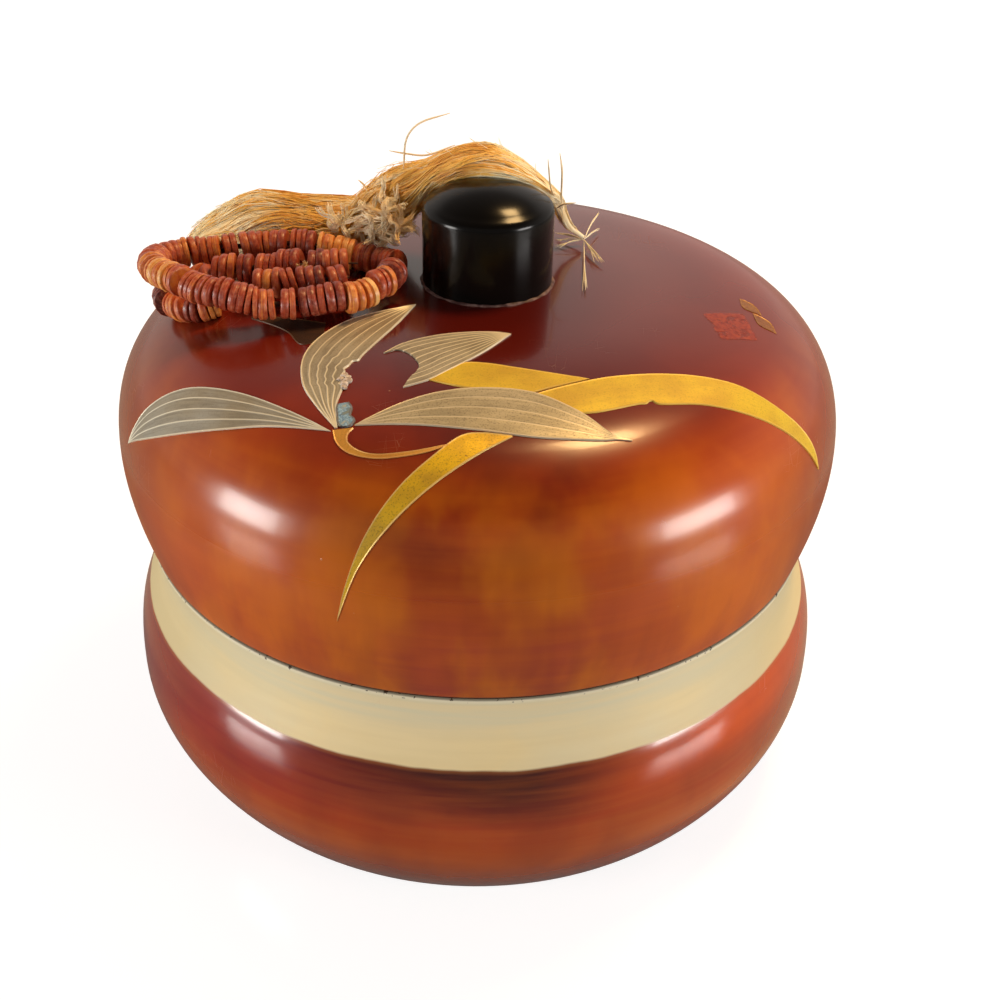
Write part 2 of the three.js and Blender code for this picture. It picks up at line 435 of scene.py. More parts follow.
# %% Node group for wear
def make_wear():
    """Scratches and specks as masks, and their relief."""
    group, start, end = new_group("Handling wear", {"Amount": 1.0}, ["Scratches", "Specks", "Relief"])
    patches = mask(group, noise_of(group, in_mm(group), 0.07, 2.0), 0.62, 0.74)
    lines = None
    for stretch in ((0.9, 0.12, 0.12), (0.12, 0.7, 0.9)):
        cells = add_node(
            group, "TexVoronoi", {"Vector": in_mm(group, stretch), "Scale": 0.5},
            feature="DISTANCE_TO_EDGE",
        )
        line = mask(group, cells.outputs["Distance"], 0.006, 0.001)
        lines = line if lines is None else sum_of(group, "MAXIMUM", lines, line)
    scratches = sum_of(group, "MULTIPLY", sum_of(group, "MULTIPLY", lines, patches), start.outputs["Amount"])
    dots = add_node(group, "TexVoronoi", {"Vector": in_mm(group), "Scale": 0.22, "Randomness": 1.0})
    near = mask(group, dots.outputs["Distance"], 0.045, 0.02)
    rare = mask(group, add_node(group, "SeparateColor", {0: dots.outputs["Color"]}).outputs[0], 0.72, 0.78)
    specks = sum_of(group, "MULTIPLY", sum_of(group, "MULTIPLY", near, rare), start.outputs["Amount"])
    ripple = sum_of(group, "MULTIPLY", noise_of(group, in_mm(group), 0.22, 2.0), 0.5)
    relief = sum_of(group, "ADD", ripple, specks)
    group.links.new(scratches, end.inputs["Scratches"])
    group.links.new(specks, end.inputs["Specks"])
    group.links.new(relief, end.inputs["Relief"])
    return group


wear = make_wear()
print("group", wear.name, "is ready")

# %% [markdown]
# ## The lid's lacquer
#
# The lid is amber on its flank and deep red-brown on its crown, with no hard line between them. A single
# angle, measured up from the middle of the box to the crown, places a colour ramp over the whole curve.
# The clouds push that angle up and down, so the change of colour wanders as brushed lacquer does.

# %% Lid lacquer
def use_group(tree, group, **values):
    """Places a node group in a material with its own values."""
    node = add_node(tree, "Group")
    node.node_tree = group
    for name, value in values.items():
        node.inputs[name].default_value = value
    return node


def polish(tree, shader, wear_node, roughness, coat, bump_mm=0.02):
    """The gloss that all the lacquers share: a clear coat over a softer ground, with fine relief."""
    scratched = sum_of(tree, "MULTIPLY", wear_node.outputs["Scratches"], 0.30)
    bump = add_node(tree, "Bump", {
        "Strength": 1.0, "Distance": bump_mm * MM, "Height": wear_node.outputs["Relief"],
    })
    feed(tree, shader, {
        "Roughness": sum_of(tree, "ADD", roughness, scratched), "Coat Weight": coat, "Coat Roughness": 0.08,
        "Normal": bump.outputs["Normal"],
    })


def box_coordinates(tree):
    """The distance from the axis, the place across and the place in depth, and the height, in millimetres."""
    parts = add_node(tree, "SeparateXYZ", {0: in_mm(tree)})
    x, y, z = parts.outputs[0], parts.outputs[1], parts.outputs[2]
    flat = sum_of(tree, "ADD", sum_of(tree, "POWER", x, 2.0), sum_of(tree, "POWER", y, 2.0))
    return sum_of(tree, "SQRT", flat), x, y, z


def tint(tree, colour, over, *shares):
    """Lays one colour over another by the product of several shares."""
    factor = shares[0]
    for share in shares[1:]:
        factor = sum_of(tree, "MULTIPLY", factor, share)
    return blend(tree, factor, colour, over)


def make_lid_lacquer():
    """Amber flank, red-brown crown, brush clouds, streaks and smears."""
    material, tree, shader = new_material("lid_lacquer")
    strokes = use_group(tree, brushwork, Scale=1.0).outputs
    marks = use_group(tree, wear, Amount=1.0)
    radius, x, y, height = box_coordinates(tree)
    angle = sum_of(tree, "ARCTAN2", sum_of(tree, "SUBTRACT", height, 60.0), radius)
    position = sum_of(tree, "MULTIPLY_ADD", sum_of(tree, "DEGREES", angle), 0.01, 0.10)
    wander = sum_of(tree, "MULTIPLY", sum_of(tree, "SUBTRACT", strokes["Clouds"], 0.5), 0.10)
    colour = ramp(tree, sum_of(tree, "ADD", position, wander), [
        (0.00, srgb(156, 58, 38)),
        (0.10, srgb(168, 66, 34)),
        (0.18, srgb(170, 68, 18)),
        (0.26, srgb(164, 64, 6)),
        (0.33, srgb(144, 46, 6)),
        (0.42, srgb(120, 34, 10)),
        (0.52, srgb(102, 23, 12)),
        (0.70, srgb(80, 14, 10)),
        (1.00, srgb(72, 12, 10)),
    ])
    flank = mask(tree, position, 0.40, 0.28)
    low = mask(tree, position, 0.20, 0.06)
    aside = mask(tree, sum_of(tree, "ABSOLUTE", x), 8.0, 34.0)
    painted_centre_shade = sum_of(tree, "SUBTRACT", 1.0, aside)
    edge = mask(tree, sum_of(tree, "ABSOLUTE", x), 42.0, 62.0)
    crown = mask(tree, position, 0.42, 0.60)
    colour = tint(tree, colour, srgb(206, 100, 8), strokes["Streaks"], flank, 0.28)
    colour = tint(tree, colour, srgb(196, 106, 6), strokes["Pools"], flank, 0.75)
    shade = sum_of(tree, "MULTIPLY", sum_of(tree, "SUBTRACT", 1.0, strokes["Pools"]), strokes["Clouds"])
    colour = tint(tree, colour, srgb(104, 28, 10), shade, flank, 0.36)
    colour = tint(tree, colour, srgb(112, 34, 8), strokes["Smears"], flank, 0.12)
    # painted light: brighter amber towards the left and right of the flank, where the side panels light it, laid into
    # the colour
    colour = tint(tree, colour, srgb(208, 94, 10), aside, flank, 0.42)
    # painted shade: darker red-brown in the middle of the shoulder band, between the two side-lit areas
    colour = tint(tree, colour, srgb(86, 20, 6), painted_centre_shade, mask(tree, position, 0.20, 0.34), strokes["Clouds"], 0.75)
    colour = tint(tree, colour, srgb(134, 50, 18), crown, mask(tree, x, 6.0, 44.0), 0.5)
    # painted sheen and shade: muted pinkish brown towards the left and right edges of the lid, standing in for the
    # milky grazing reflection there and for a dimmer look under the side light
    colour = tint(tree, colour, srgb(108, 44, 26), edge, 0.7)
    colour = tint(tree, colour, srgb(128, 42, 26), strokes["Smears"], low, 0.16)
    colour = tint(tree, colour, srgb(205, 160, 120), marks.outputs["Scratches"], 0.15)
    colour = tint(tree, colour, srgb(205, 160, 120), marks.outputs["Specks"], 0.4)
    # painted shadow: a dark line just above the lid's lower edge, where the seam between lid and base lies in shade
    colour = tint(tree, colour, srgb(58, 24, 12), mask(tree, height, LID_EDGE + 0.6, LID_EDGE + 0.15), 0.65)
    tree.links.new(colour, shader.inputs["Base Color"])
    shader.inputs["Specular IOR Level"].default_value = 0.42
    rubbed = mask(tree, position, 0.205, 0.165)
    roughness = sum_of(tree, "MULTIPLY_ADD", rubbed, 0.20, sum_of(tree, "MULTIPLY_ADD", crown, -0.04, 0.24))
    coat = sum_of(tree, "MULTIPLY_ADD", rubbed, -0.12, sum_of(tree, "MULTIPLY_ADD", crown, 0.30, 0.12))
    polish(tree, shader, marks, roughness, coat)
    return material


lid_lacquer = make_lid_lacquer()
print("material", lid_lacquer.name)

# %% Base lacquer with its cream band
BAND_EDGE = 35.9


def make_base_lacquer():
    """Red-brown bulge, darker under the waist, and a matt cream band painted round the waist."""
    material, tree, shader = new_material("base_lacquer")
    strokes = use_group(tree, brushwork, Scale=1.1).outputs
    marks = use_group(tree, wear, Amount=0.8)
    radius, x, y, height = box_coordinates(tree)
    wander = sum_of(tree, "MULTIPLY", sum_of(tree, "SUBTRACT", strokes["Clouds"], 0.5), 0.07)
    colour = ramp(tree, sum_of(tree, "ADD", sum_of(tree, "MULTIPLY", height, 0.02), wander), [
        (0.00, srgb(108, 40, 18)),
        (0.16, srgb(146, 62, 20)),
        (0.36, srgb(182, 80, 20)),
        (0.50, srgb(166, 56, 12)),
        (0.61, srgb(104, 20, 6)),
        (0.70, srgb(56, 9, 3)),
    ])
    left, right = mask(tree, x, -8.0, -40.0), mask(tree, x, 8.0, 38.0)
    upper = mask(tree, height, 20.0, 31.0)
    colour = tint(tree, colour, srgb(190, 94, 28), strokes["Streaks"], 0.25)
    colour = tint(tree, colour, srgb(166, 24, 22), left, upper, 0.6)
    # painted glow: bright orange on the right just below the band, around the right highlight
    colour = tint(tree, colour, srgb(228, 86, 10), right, mask(tree, height, 24.0, 32.0), 0.75)
    colour = tint(tree, colour, srgb(120, 34, 14), strokes["Pools"], 0.25)
    # painted sheen and shade: muted brown towards the left and right edges of the base, standing in for the grazing
    # reflection and a dimmer look under the side light
    edge = mask(tree, sum_of(tree, "ABSOLUTE", x), 44.0, 64.0)
    colour = tint(tree, colour, srgb(120, 46, 26), edge, 0.5)
    uneven = sum_of(tree, "MULTIPLY", sum_of(tree, "SUBTRACT", noise_of(tree, in_mm(tree), 0.12, 2.0), 0.5), 0.5)
    level = sum_of(tree, "ADD", height, uneven)
    colour = tint(tree, colour, srgb(176, 104, 52), mask(tree, level, BAND_EDGE - 0.7, BAND_EDGE - 0.1), 0.4)
    cream = ramp(tree, strokes["Clouds"], [
        (0.0, srgb(243, 222, 172)),
        (0.5, srgb(245, 222, 168)),
        (1.0, srgb(238, 222, 178)),
    ])
    cream = tint(tree, cream, srgb(226, 202, 148), strokes["Streaks"], 0.25)
    cool = mask(tree, height, 39.0, 46.0)
    cream = tint(tree, cream, srgb(222, 220, 194), cool, sum_of(tree, "MULTIPLY_ADD", strokes["Streaks"], 0.35, 0.35))
    # painted shade: darker, yellower cream towards the left and right, against the strong side light there
    sides = mask(tree, sum_of(tree, "ABSOLUTE", x), 26.0, 56.0)
    cream = tint(tree, cream, srgb(192, 176, 132), sides, 0.7)
    cream = tint(tree, cream, srgb(242, 236, 214), mask(tree, height, SEAM_HEIGHT - 1.1, SEAM_HEIGHT - 0.6), 0.4)
    band = mask(tree, level, BAND_EDGE - 0.15, BAND_EDGE + 0.3)
    colour = blend(tree, band, colour, cream)
    chips = mask(tree, noise_of(tree, in_mm(tree), 1.1, 2.0), 0.62, 0.66)
    seam = mask(tree, height, SEAM_HEIGHT - 0.75, SEAM_HEIGHT - 0.35)
    colour = tint(tree, colour, srgb(70, 55, 40), chips, seam)
    # painted shadow: a dark line just under the seam, where the gap between lid and base lies in shade
    colour = tint(tree, colour, srgb(74, 58, 40), mask(tree, height, SEAM_HEIGHT - 0.3, SEAM_HEIGHT - 0.05), 0.6)
    colour = tint(tree, colour, srgb(205, 160, 120), marks.outputs["Scratches"], 0.15)
    tree.links.new(colour, shader.inputs["Base Color"])
    roughness = sum_of(tree, "MULTIPLY_ADD", band, 0.40, 0.21)
    polish(tree, shader, marks, roughness, sum_of(tree, "MULTIPLY_ADD", band, -0.45, 0.45))
    return material


base_lacquer = make_base_lacquer()
print("material", base_lacquer.name)


# %% Plain dark lacquer for the inside and the underside
def make_dark_lacquer(name, colour, worn_colour, roughness, coat, gloss):
    """A plain lacquer with faint clouds and wear; gloss is how much light it throws back."""
    material, tree, shader = new_material(name)
    strokes = use_group(tree, brushwork, Scale=1.4).outputs
    marks = use_group(tree, wear, Amount=0.6)
    mixed = tint(tree, colour, worn_colour, strokes["Clouds"], 0.5)
    mixed = tint(tree, mixed, srgb(150, 130, 110), marks.outputs["Scratches"], 0.2)
    feed(tree, shader, {"Base Color": mixed, "Specular IOR Level": gloss})
    polish(tree, shader, marks, roughness, coat, 0.012)
    return material


inside_lacquer = make_dark_lacquer("inside_lacquer", srgb(44, 14, 11), srgb(58, 20, 14), 0.42, 0.2, 0.5)
black_lacquer = make_dark_lacquer("black_lacquer", srgb(5, 4, 3), srgb(14, 10, 7), 0.19, 0.0, 0.20)
print("materials", inside_lacquer.name, black_lacquer.name)

# %% [markdown]
# ## Base and lid
#
# Each is turned from its outlines: one for the part that shows, and others for what is hidden when the box
# is closed. The hidden outlines get a plainer dark lacquer, as the maker would have given them. They start
# and end on the same points as the outer one, so merging doubled points joins them into one closed solid.

# %% Turn the base and the lid
base_shape = turn_parts([(base_outside(), 0), (base_inside(), 1), (under_foot(), 1)])
base = finish_mesh(base_shape, "base", [base_lacquer, inside_lacquer])
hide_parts("box_base")

lid = finish_mesh(turn_parts([(lid_outside(), 0), (lid_inside(), 1)]), "box_lid", [lid_lacquer, inside_lacquer])
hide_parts("lid")

# %% Knob
KNOB_X = 1.2
KNOB_RADIUS = 11.4


def knob_outline():
    """Straight side, small round shoulder and a domed top."""
    outline = [(0, LID_TOP - 0.5), (KNOB_RADIUS, LID_TOP - 0.5), (KNOB_RADIUS, 106.0)]
    outline += bend(outline[-1], (KNOB_RADIUS, 107.0), (11.0, 107.5), (10.0, 107.95), 8)
    outline += bend(outline[-1], (7.6, 109.9), (3.6, 110.9), (0, 110.9), 16)
    return outline


knob = finish_mesh(turn_parts([(knob_outline(), 0)], 96, KNOB_X), "black_knob", [black_lacquer])
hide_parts("knob")

# %% [markdown]
# ## Wrapping a flat drawing on the lid
#
# An inlay is drawn and cut flat and then pressed on the curved lid. The same can be done here: each
# inlay is shaped in a flat drawing whose middle is the crown, and every point is then walked outwards
# from the crown along the lid's own outline. Lengths from the crown stay true, so a leaf keeps its size.
# A shrinkwrap modifier could do it too, but this way the lift above the lid is exact everywhere.

# %% Helpers for wrapping
crown_line = [Vector((r, z)) for r, z in reversed(lid_outside())]
walked = [0.0]
for near, far in zip(crown_line, crown_line[1:]):
    walked.append(walked[-1] + (far - near).length)


def on_lid(x, y, lift):
    """The place above a point of the flat drawing, lifted square off the lid, all in millimetres."""
    reach = math.hypot(x, y)
    span = min(max(bisect.bisect_right(walked, reach) - 1, 0), len(crown_line) - 2)
    start, end = crown_line[span], crown_line[span + 1]
    along = (end - start).normalized()
    spot = start + along * (reach - walked[span]) + Vector((-along.y, along.x)) * lift
    turn = math.atan2(y, x)
    return Vector((spot.x * math.cos(turn), spot.x * math.sin(turn), spot.y))


def smooth_through(points, steps=12):
    """A smooth line through points, as a run of cubic curves that eases evenly round close points."""
    points = [Vector(p) for p in points]
    run = [points[0] * 2 - points[1], *points, points[-1] * 2 - points[-2]]
    line = [points[0]]
    for before, start, end, after in zip(run, run[1:], run[2:], run[3:]):
        lead, span, tail = (math.sqrt((b - a).length) for a, b in ((before, start), (start, end), (end, after)))
        leaving = (start - before) / lead - (end - before) / (lead + span) + (end - start) / span
        arriving = (end - start) / span - (after - start) / (span + tail) + (after - end) / tail
        handle_a, handle_b = start + leaving * span / 3, end - arriving * span / 3
        line += interpolate_bezier(start, handle_a, handle_b, end, steps + 1)[1:]
    return line


def evenly(line, count):
    """Count points spaced evenly along a line."""
    reach = [0.0]
    for near, far in zip(line, line[1:]):
        reach.append(reach[-1] + (far - near).length)
    spaced = []
    span = 0
    for step in range(count):
        target = reach[-1] * step / (count - 1)
        while span < len(line) - 2 and reach[span + 1] < target:
            span += 1
        length = max(reach[span + 1] - reach[span], 1e-9)
        spaced.append(line[span].lerp(line[span + 1], (target - reach[span]) / length))
    return spaced


print("the lid measures", round(walked[-1], 1), "mm from crown to seam")

# %% [markdown]
# ## Raised inlay
#
# Each leaf or blade is a thin sheet of metal, a fifth of a millimetre proud, with a raised rim and, on
# the leaves, raised ribs that meet at both tips. A grid stretched between the two edges of the leaf
# follows it naturally: rows of the grid run from tip to tip, just as the ribs do. The grid has a row of
# points exactly on each rib, so the distance to the nearest rib, which both the relief and the finish
# need, can be stored on the points without losing its crisp middle.

# %% Helpers for inlay
INLAY_LIFT = 0.16
INLAY_DEPTH = 0.32
RIB_HEIGHT = 0.07
RIB_HALF_WIDTH = 0.14
FIBRES_ACROSS = 9.0
CELLS_ACROSS = 36
CELLS_ALONG = 150


def lay_inlay(name, material, slot, side_a, side_b, ribs=0, lift=INLAY_LIFT, rib_height=RIB_HEIGHT, end=None, depth=INLAY_DEPTH):
    """Stretches a grid between two edges drawn flat, raises its ribs and rims, and wraps it on the lid."""
    gaps = ribs + 1
    across = gaps * 2 * max(1, round(CELLS_ACROSS / gaps / 2))
    sheet = bmesh.new()
    bmesh.ops.create_grid(sheet, x_segments=CELLS_ALONG, y_segments=across, size=0.5)
    rib_layer = sheet.verts.layers.float.new("rib_distance")
    rim_layer = sheet.verts.layers.float.new("rim_distance")
    along_layer = sheet.verts.layers.float.new("along")
    across_layer = sheet.verts.layers.float.new("across_mm")
    edge_a, edge_b = (evenly(smooth_through([(x, y, 0) for x, y in side]), CELLS_ALONG + 1) for side in (side_a, side_b))
    edge_end = evenly(smooth_through([(x, y, 0) for x, y in end]), across + 1) if end else None
    for point in sheet.verts:
        u, v = point.co.x + 0.5, point.co.y + 0.5
        column, row = round(u * CELLS_ALONG), round(v * across)
        a, b = edge_a[column], edge_b[column]
        flat = a.lerp(b, v)
        if edge_end:
            flat += (edge_end[row] - edge_a[-1].lerp(edge_b[-1], v)) * u ** 4
        width = (b - a).length
        to_rib = abs(v * gaps - round(v * gaps)) / gaps * width
        to_rim = min(v, 1 - v) * width
        ridge = max(0.0, 1 - (to_rib / RIB_HALF_WIDTH) ** 2) * min(1.0, width / 1.0)
        point[rib_layer], point[rim_layer], point[along_layer] = to_rib, to_rim, u
        point[across_layer] = v * FIBRES_ACROSS + to_rib * 0.6
        grain = noise.noise(Vector((flat.x, flat.y, 0)) * 1.3) * 0.015
        point.co = on_lid(flat.x, flat.y, lift + rib_height * ridge + grain) * MM
    bmesh.ops.remove_doubles(sheet, verts=sheet.verts, dist=0.004 * MM)
    sheet.normal_update()
    if sum(face.normal.z * face.calc_area() for face in sheet.faces) < 0:
        bmesh.ops.reverse_faces(sheet, faces=sheet.faces)
    bmesh.ops.solidify(sheet, geom=sheet.faces, thickness=depth * MM)
    piece = finish_mesh(sheet, name, [material], 60)
    return piece


# %% [markdown]
# ## Silver leaf and gold leaf
#
# Old silver has turned warm grey-green and gone nearly matt, with brighter ribs where it is rubbed. Gold
# stays yellow but is worn thin in places, where the red ground shows as fine dark grain. Both finishes
# mix a clean tone and a dull tone by clouds, add a stipple of tiny cells, and brighten the ribs and rims
# from the distances stored on the mesh.

# %% Node group for stippled metal
def make_stipple():
    """Fine dark grain, slow tone changes and worn spots."""
    group, start, end = new_group("Stipple", {"Grain": 0.5, "Worn": 0.2}, ["Dark grain", "Tone", "Worn spots"])
    fine = mask(group, noise_of(group, in_mm(group), 3.6, 2.0, 0.6), 0.52, 0.68)
    group.links.new(sum_of(group, "MULTIPLY", fine, start.outputs["Grain"]), end.inputs["Dark grain"])
    group.links.new(mask(group, noise_of(group, in_mm(group), 0.14, 3.0), 0.3, 0.7), end.inputs["Tone"])
    spots = noise_of(group, in_mm(group), 1.5, 4.0, 0.65)
    threshold = sum_of(group, "SUBTRACT", 0.80, sum_of(group, "MULTIPLY", start.outputs["Worn"], 0.3))
    over = sum_of(group, "SUBTRACT", spots, threshold)
    group.links.new(mask(group, over, 0.0, 0.03), end.inputs["Worn spots"])
    return group


stipple = make_stipple()


def make_leaf_metal(name, clean, dull, rib, grain, worn, metallic, roughness, lines=0.45, ground=(122, 52, 24)):
    """Old metal leaf with bright ribs and rims, dark grain, fine drawn lines and worn spots."""
    material, tree, shader = new_material(name)
    spots = use_group(tree, stipple, Grain=grain, Worn=worn).outputs
    drawing = add_node(tree, "CombineXYZ", {
        0: attribute(tree, "across_mm"), 1: sum_of(tree, "MULTIPLY", attribute(tree, "along"), 3.0),
    })
    drawn = mask(tree, noise_of(tree, drawing.outputs[0], 1.6, 3.0, 0.7), 0.42, 0.66)
    colour = blend(tree, spots["Tone"], srgb(*clean), srgb(*dull))
    colour = tint(tree, colour, srgb(*(value * 0.72 for value in dull)), drawn, lines)
    colour = blend(tree, spots["Dark grain"], colour, srgb(*(value * 0.55 for value in dull)))
    colour = tint(tree, colour, srgb(*rib), mask(tree, attribute(tree, "rib_distance"), 0.16, 0.07), 0.9)
    colour = tint(tree, colour, srgb(*rib), mask(tree, attribute(tree, "rim_distance"), 0.28, 0.12), 0.8)
    colour = blend(tree, spots["Worn spots"], colour, srgb(*ground))
    solid = sum_of(tree, "SUBTRACT", 1.0, spots["Worn spots"])
    feed(tree, shader, {
        "Base Color": colour,
        "Metallic": sum_of(tree, "MULTIPLY", solid, metallic),
        "Roughness": sum_of(tree, "MULTIPLY_ADD", spots["Dark grain"], 0.2, roughness),
    })
    return material


silver = make_leaf_metal("silver_leaf", (188, 177, 152), (168, 155, 130), (242, 230, 200), 0.3, 0.0, 0.3, 0.42)
pale_silver = make_leaf_metal("pale_silver", (166, 160, 145), (160, 149, 126), (232, 224, 200), 0.2, 0.0, 0.3, 0.42)
grainy_silver = make_leaf_metal("grainy_silver", (196, 182, 150), (178, 164, 132), (214, 200, 170), 0.6, 0.03, 0.3, 0.42)
gold = make_leaf_metal("gold_leaf", (228, 194, 44), (206, 166, 40), (232, 194, 84), 0.25, 0.08, 0.15, 0.52, 0.10)
worn_gold = make_leaf_metal("worn_gold", (240, 194, 28), (204, 160, 44), (236, 200, 120), 0.5, 0.35, 0.3, 0.40, 0.15)
# painted shadow: the back blade's gold is painted nearly brown because it lies in the shadow of the beads; it is also
# worn
worn_gold_in_painted_shade = make_leaf_metal("worn_gold_in_painted_shade", (66, 38, 18), (44, 22, 12), (84, 52, 26), 0.6, 0.4, 0.1, 0.5)
stem_gold = make_leaf_metal("stem_gold", (224, 162, 68), (200, 132, 56), (232, 176, 96), 0.3, 0.05, 0.3, 0.4, 0.2)
faint_gold = make_leaf_metal("faint_gold", (176, 122, 52), (140, 84, 40), (188, 136, 66), 0.6, 0.75, 0.2, 0.4, 0.3)
print("finishes:", silver.name, pale_silver.name, grainy_silver.name, gold.name, worn_gold.name)

# %% [markdown]
# ## The silver leaves
#
# Four leaves spring from one point near the front of the crown. Each is given by its two edges, read
# from root to tip in the flat drawing. The upright leaf has lost flakes from its right edge, and the
# short leaf is what remains of a longer one: its left end is broken off in a hollow curve.

# %% Silver leaves
LEFT_LEAF = (
    [(-22.2, -47.5), (-29.1, -42.1), (-37.9, -35.9), (-47.4, -31.1), (-55.5, -29.9), (-61.9, -30.4), (-65.3, -30.5)],
    [(-22.2, -47.5), (-32.6, -44.4), (-39.3, -42.8), (-46.7, -40.4), (-54.7, -36.9), (-65.3, -30.5)],
)
UPRIGHT_LEAF = (
    [(-21.6, -47.0), (-24.9, -41.6), (-27.5, -35.6), (-28.1, -28.1), (-25.8, -21.7), (-21.3, -16.4), (-10.9, -11.1)],
    [(-21.2, -47.0), (-21.7, -41.8), (-21.2, -37.2), (-21.7, -36.6), (-21.3, -35.6), (-21.6, -34.8), (-21.1, -33.0),
     (-21.3, -32.4), (-20.5, -31.2), (-20.1, -30.2), (-19.2, -29.9), (-18.7, -28.6), (-14.0, -18.8), (-10.9, -11.1)],
)
RIGHT_LEAF = (
    [(-18.6, -46.8), (-11.1, -41.8), (-6.1, -39.5), (0.4, -38.3), (8.2, -39.2), (15.4, -43.6), (20.4, -48.0), (23.1, -48.4)],
    [(-18.6, -46.8), (-10.9, -47.1), (-0.8, -48.4), (8.8, -49.7), (18.5, -49.2), (20.9, -48.7), (23.1, -48.5)],
)
SHORT_LEAF = (
    [(5.1, -21.6), (1.8, -21.1), (-6.3, -22.2), (-12.4, -25.1), (-15.3, -28.1)],
    [(5.1, -21.6), (-0.0, -28.4), (-5.1, -33.6), (-8.0, -36.2), (-11.7, -38.1)],
)
SHORT_LEAF_BREAK = [
    (-15.3, -28.1), (-13.1, -27.1), (-11.3, -28.2), (-10.0, -30.3), (-9.5, -32.2), (-9.9, -33.9), (-10.7, -35.3),
    (-11.2, -36.6), (-11.7, -38.1),
]
lay_inlay("leaf_left", pale_silver, "silver_leaf", *LEFT_LEAF, ribs=3)
lay_inlay("leaf_upright", silver, "silver_leaf", *UPRIGHT_LEAF, ribs=4, lift=0.2)
lay_inlay("leaf_right", grainy_silver, "silver_leaf", *RIGHT_LEAF, ribs=3, lift=0.24, rib_height=0.05)
lay_inlay("leaf_short", silver, "silver_leaf", *SHORT_LEAF, ribs=8, lift=0.24, rib_height=0.035, end=SHORT_LEAF_BREAK)

# %% Gold blades and the stem
BLADE_MIDDLE = (
    [(-8.1, -36.0), (-5.4, -33.7), (-2.3, -31.1), (1.2, -31.2), (5.4, -32.2), (13.8, -34.1), (17.2, -34.7)],
    [(-8.1, -36.0), (-2.3, -38.0), (3.5, -38.8), (7.6, -39.2), (10.6, -37.8), (13.7, -36.4), (17.2, -34.7)],
)
BLADE_RIGHT = (
    [(8.0, -39.9), (12.8, -37.3), (20.9, -33.7), (31.4, -31.4), (39.8, -31.3), (49.8, -33.0), (58.9, -34.1), (63.4, -35.6)],
    [(11.2, -42.6), (16.2, -43.6), (24.7, -40.3), (25.8, -40.0), (26.2, -39.4), (26.9, -39.2), (27.5, -39.7),
     (34.7, -38.2), (44.3, -37.1), (55.1, -36.3), (63.4, -35.7)],
)
BLADE_FRONT = (
    [(5.0, -49.6), (0.4, -49.1), (-2.2, -49.5), (-6.7, -53.4), (-11.8, -58.2), (-17.5, -64.8), (-23.0, -72.6), (-26.5, -77.9)],
    [(5.0, -49.8), (-0.4, -53.5), (-6.7, -58.2), (-13.5, -63.8), (-19.4, -69.4), (-24.5, -75.6), (-26.5, -77.9)],
)
BLADE_BACK = (
    [(-38.5, -13.4), (-33.0, -14.6), (-25.6, -17.4)],
    [(-38.5, -14.0), (-34.0, -17.4), (-31.4, -20.0), (-28.8, -24.2), (-25.6, -22.9)],
)
STEM = (
    [(-21.9, -47.4), (-21.4, -49.5), (-20.2, -51.2), (-18.7, -52.2), (-16.5, -53.0), (-13.6, -53.4), (-7.8, -52.8), (-4.4, -51.6)],
    [(-18.8, -47.3), (-19.5, -48.3), (-19.6, -49.6), (-18.7, -50.9), (-17.3, -51.9), (-15.0, -52.6), (-9.3, -52.4), (-4.4, -51.4)],
)
lay_inlay("blade_middle", gold, "gold_paint", *BLADE_MIDDLE, lift=0.14)
lay_inlay("blade_right", gold, "gold_paint", *BLADE_RIGHT, lift=0.14)
lay_inlay("blade_front", worn_gold, "gold_paint", *BLADE_FRONT, lift=0.14)
# the back blade's finish paints the beads' shadow into its colour, on top of wear
lay_inlay("blade_back", worn_gold_in_painted_shade, "gold_paint", *BLADE_BACK, lift=0.10)
lay_inlay("stem", stem_gold, "gold_paint", *STEM, lift=0.16)

# %% [markdown]
# ## Small things on the lid
#
# A chip of blue shell marks the point that the leaves spring from, and a crumb of broken silver clings to
# the upright leaf. A small patch of red paint and a fleck of gold lie on the right of the crown, both
# almost worn away, and hardened glue stands in a thin dusty ring round the foot of the knob.

# %% Shell chip, red patch and gold fleck
SHELL_CHIP = (
    [(-21.6, -41.9), (-21.7, -43.0), (-21.5, -44.3), (-21.4, -45.6), (-21.1, -46.5), (-20.3, -47.0)],
    [(-19.8, -41.6), (-19.2, -42.8), (-19.3, -44.6), (-18.6, -45.7), (-19.1, -46.8), (-20.3, -47.0)],
)
RED_PATCH = ([(37.2, -9.4), (39.8, -19.4)], [(46.4, -6.5), (47.9, -16.7)])
GOLD_FLECKS = [
    ([(46.0, -1.4), (48.3, -3.0), (49.3, -6.6)], [(46.0, -1.4), (46.2, -5.2), (49.3, -6.6)]),
    ([(47.6, -6.4), (50.4, -8.4), (51.2, -12.0)], [(47.6, -6.4), (48.2, -10.6), (51.2, -12.0)]),
]


def make_blue_pearl():
    """Shell whose colour swims from slate to pale blue."""
    material, tree, shader = new_material("blue_pearl")
    swirl = noise_of(tree, in_mm(tree), 0.75, 3.0, 0.6, 0.8)
    colour = ramp(tree, swirl, [
        (0.34, srgb(142, 152, 144)),
        (0.43, srgb(104, 146, 186)),
        (0.50, srgb(184, 216, 236)),
        (0.57, srgb(120, 160, 190)),
        (0.66, srgb(192, 196, 184)),
    ])
    colour = tint(tree, colour, srgb(122, 104, 84), mask(tree, attribute(tree, "rim_distance"), 0.45, 0.15), 0.8)
    feed(tree, shader, {"Base Color": colour, "Roughness": 0.16, "Metallic": 0.15, "Coat Weight": 0.5})
    return material


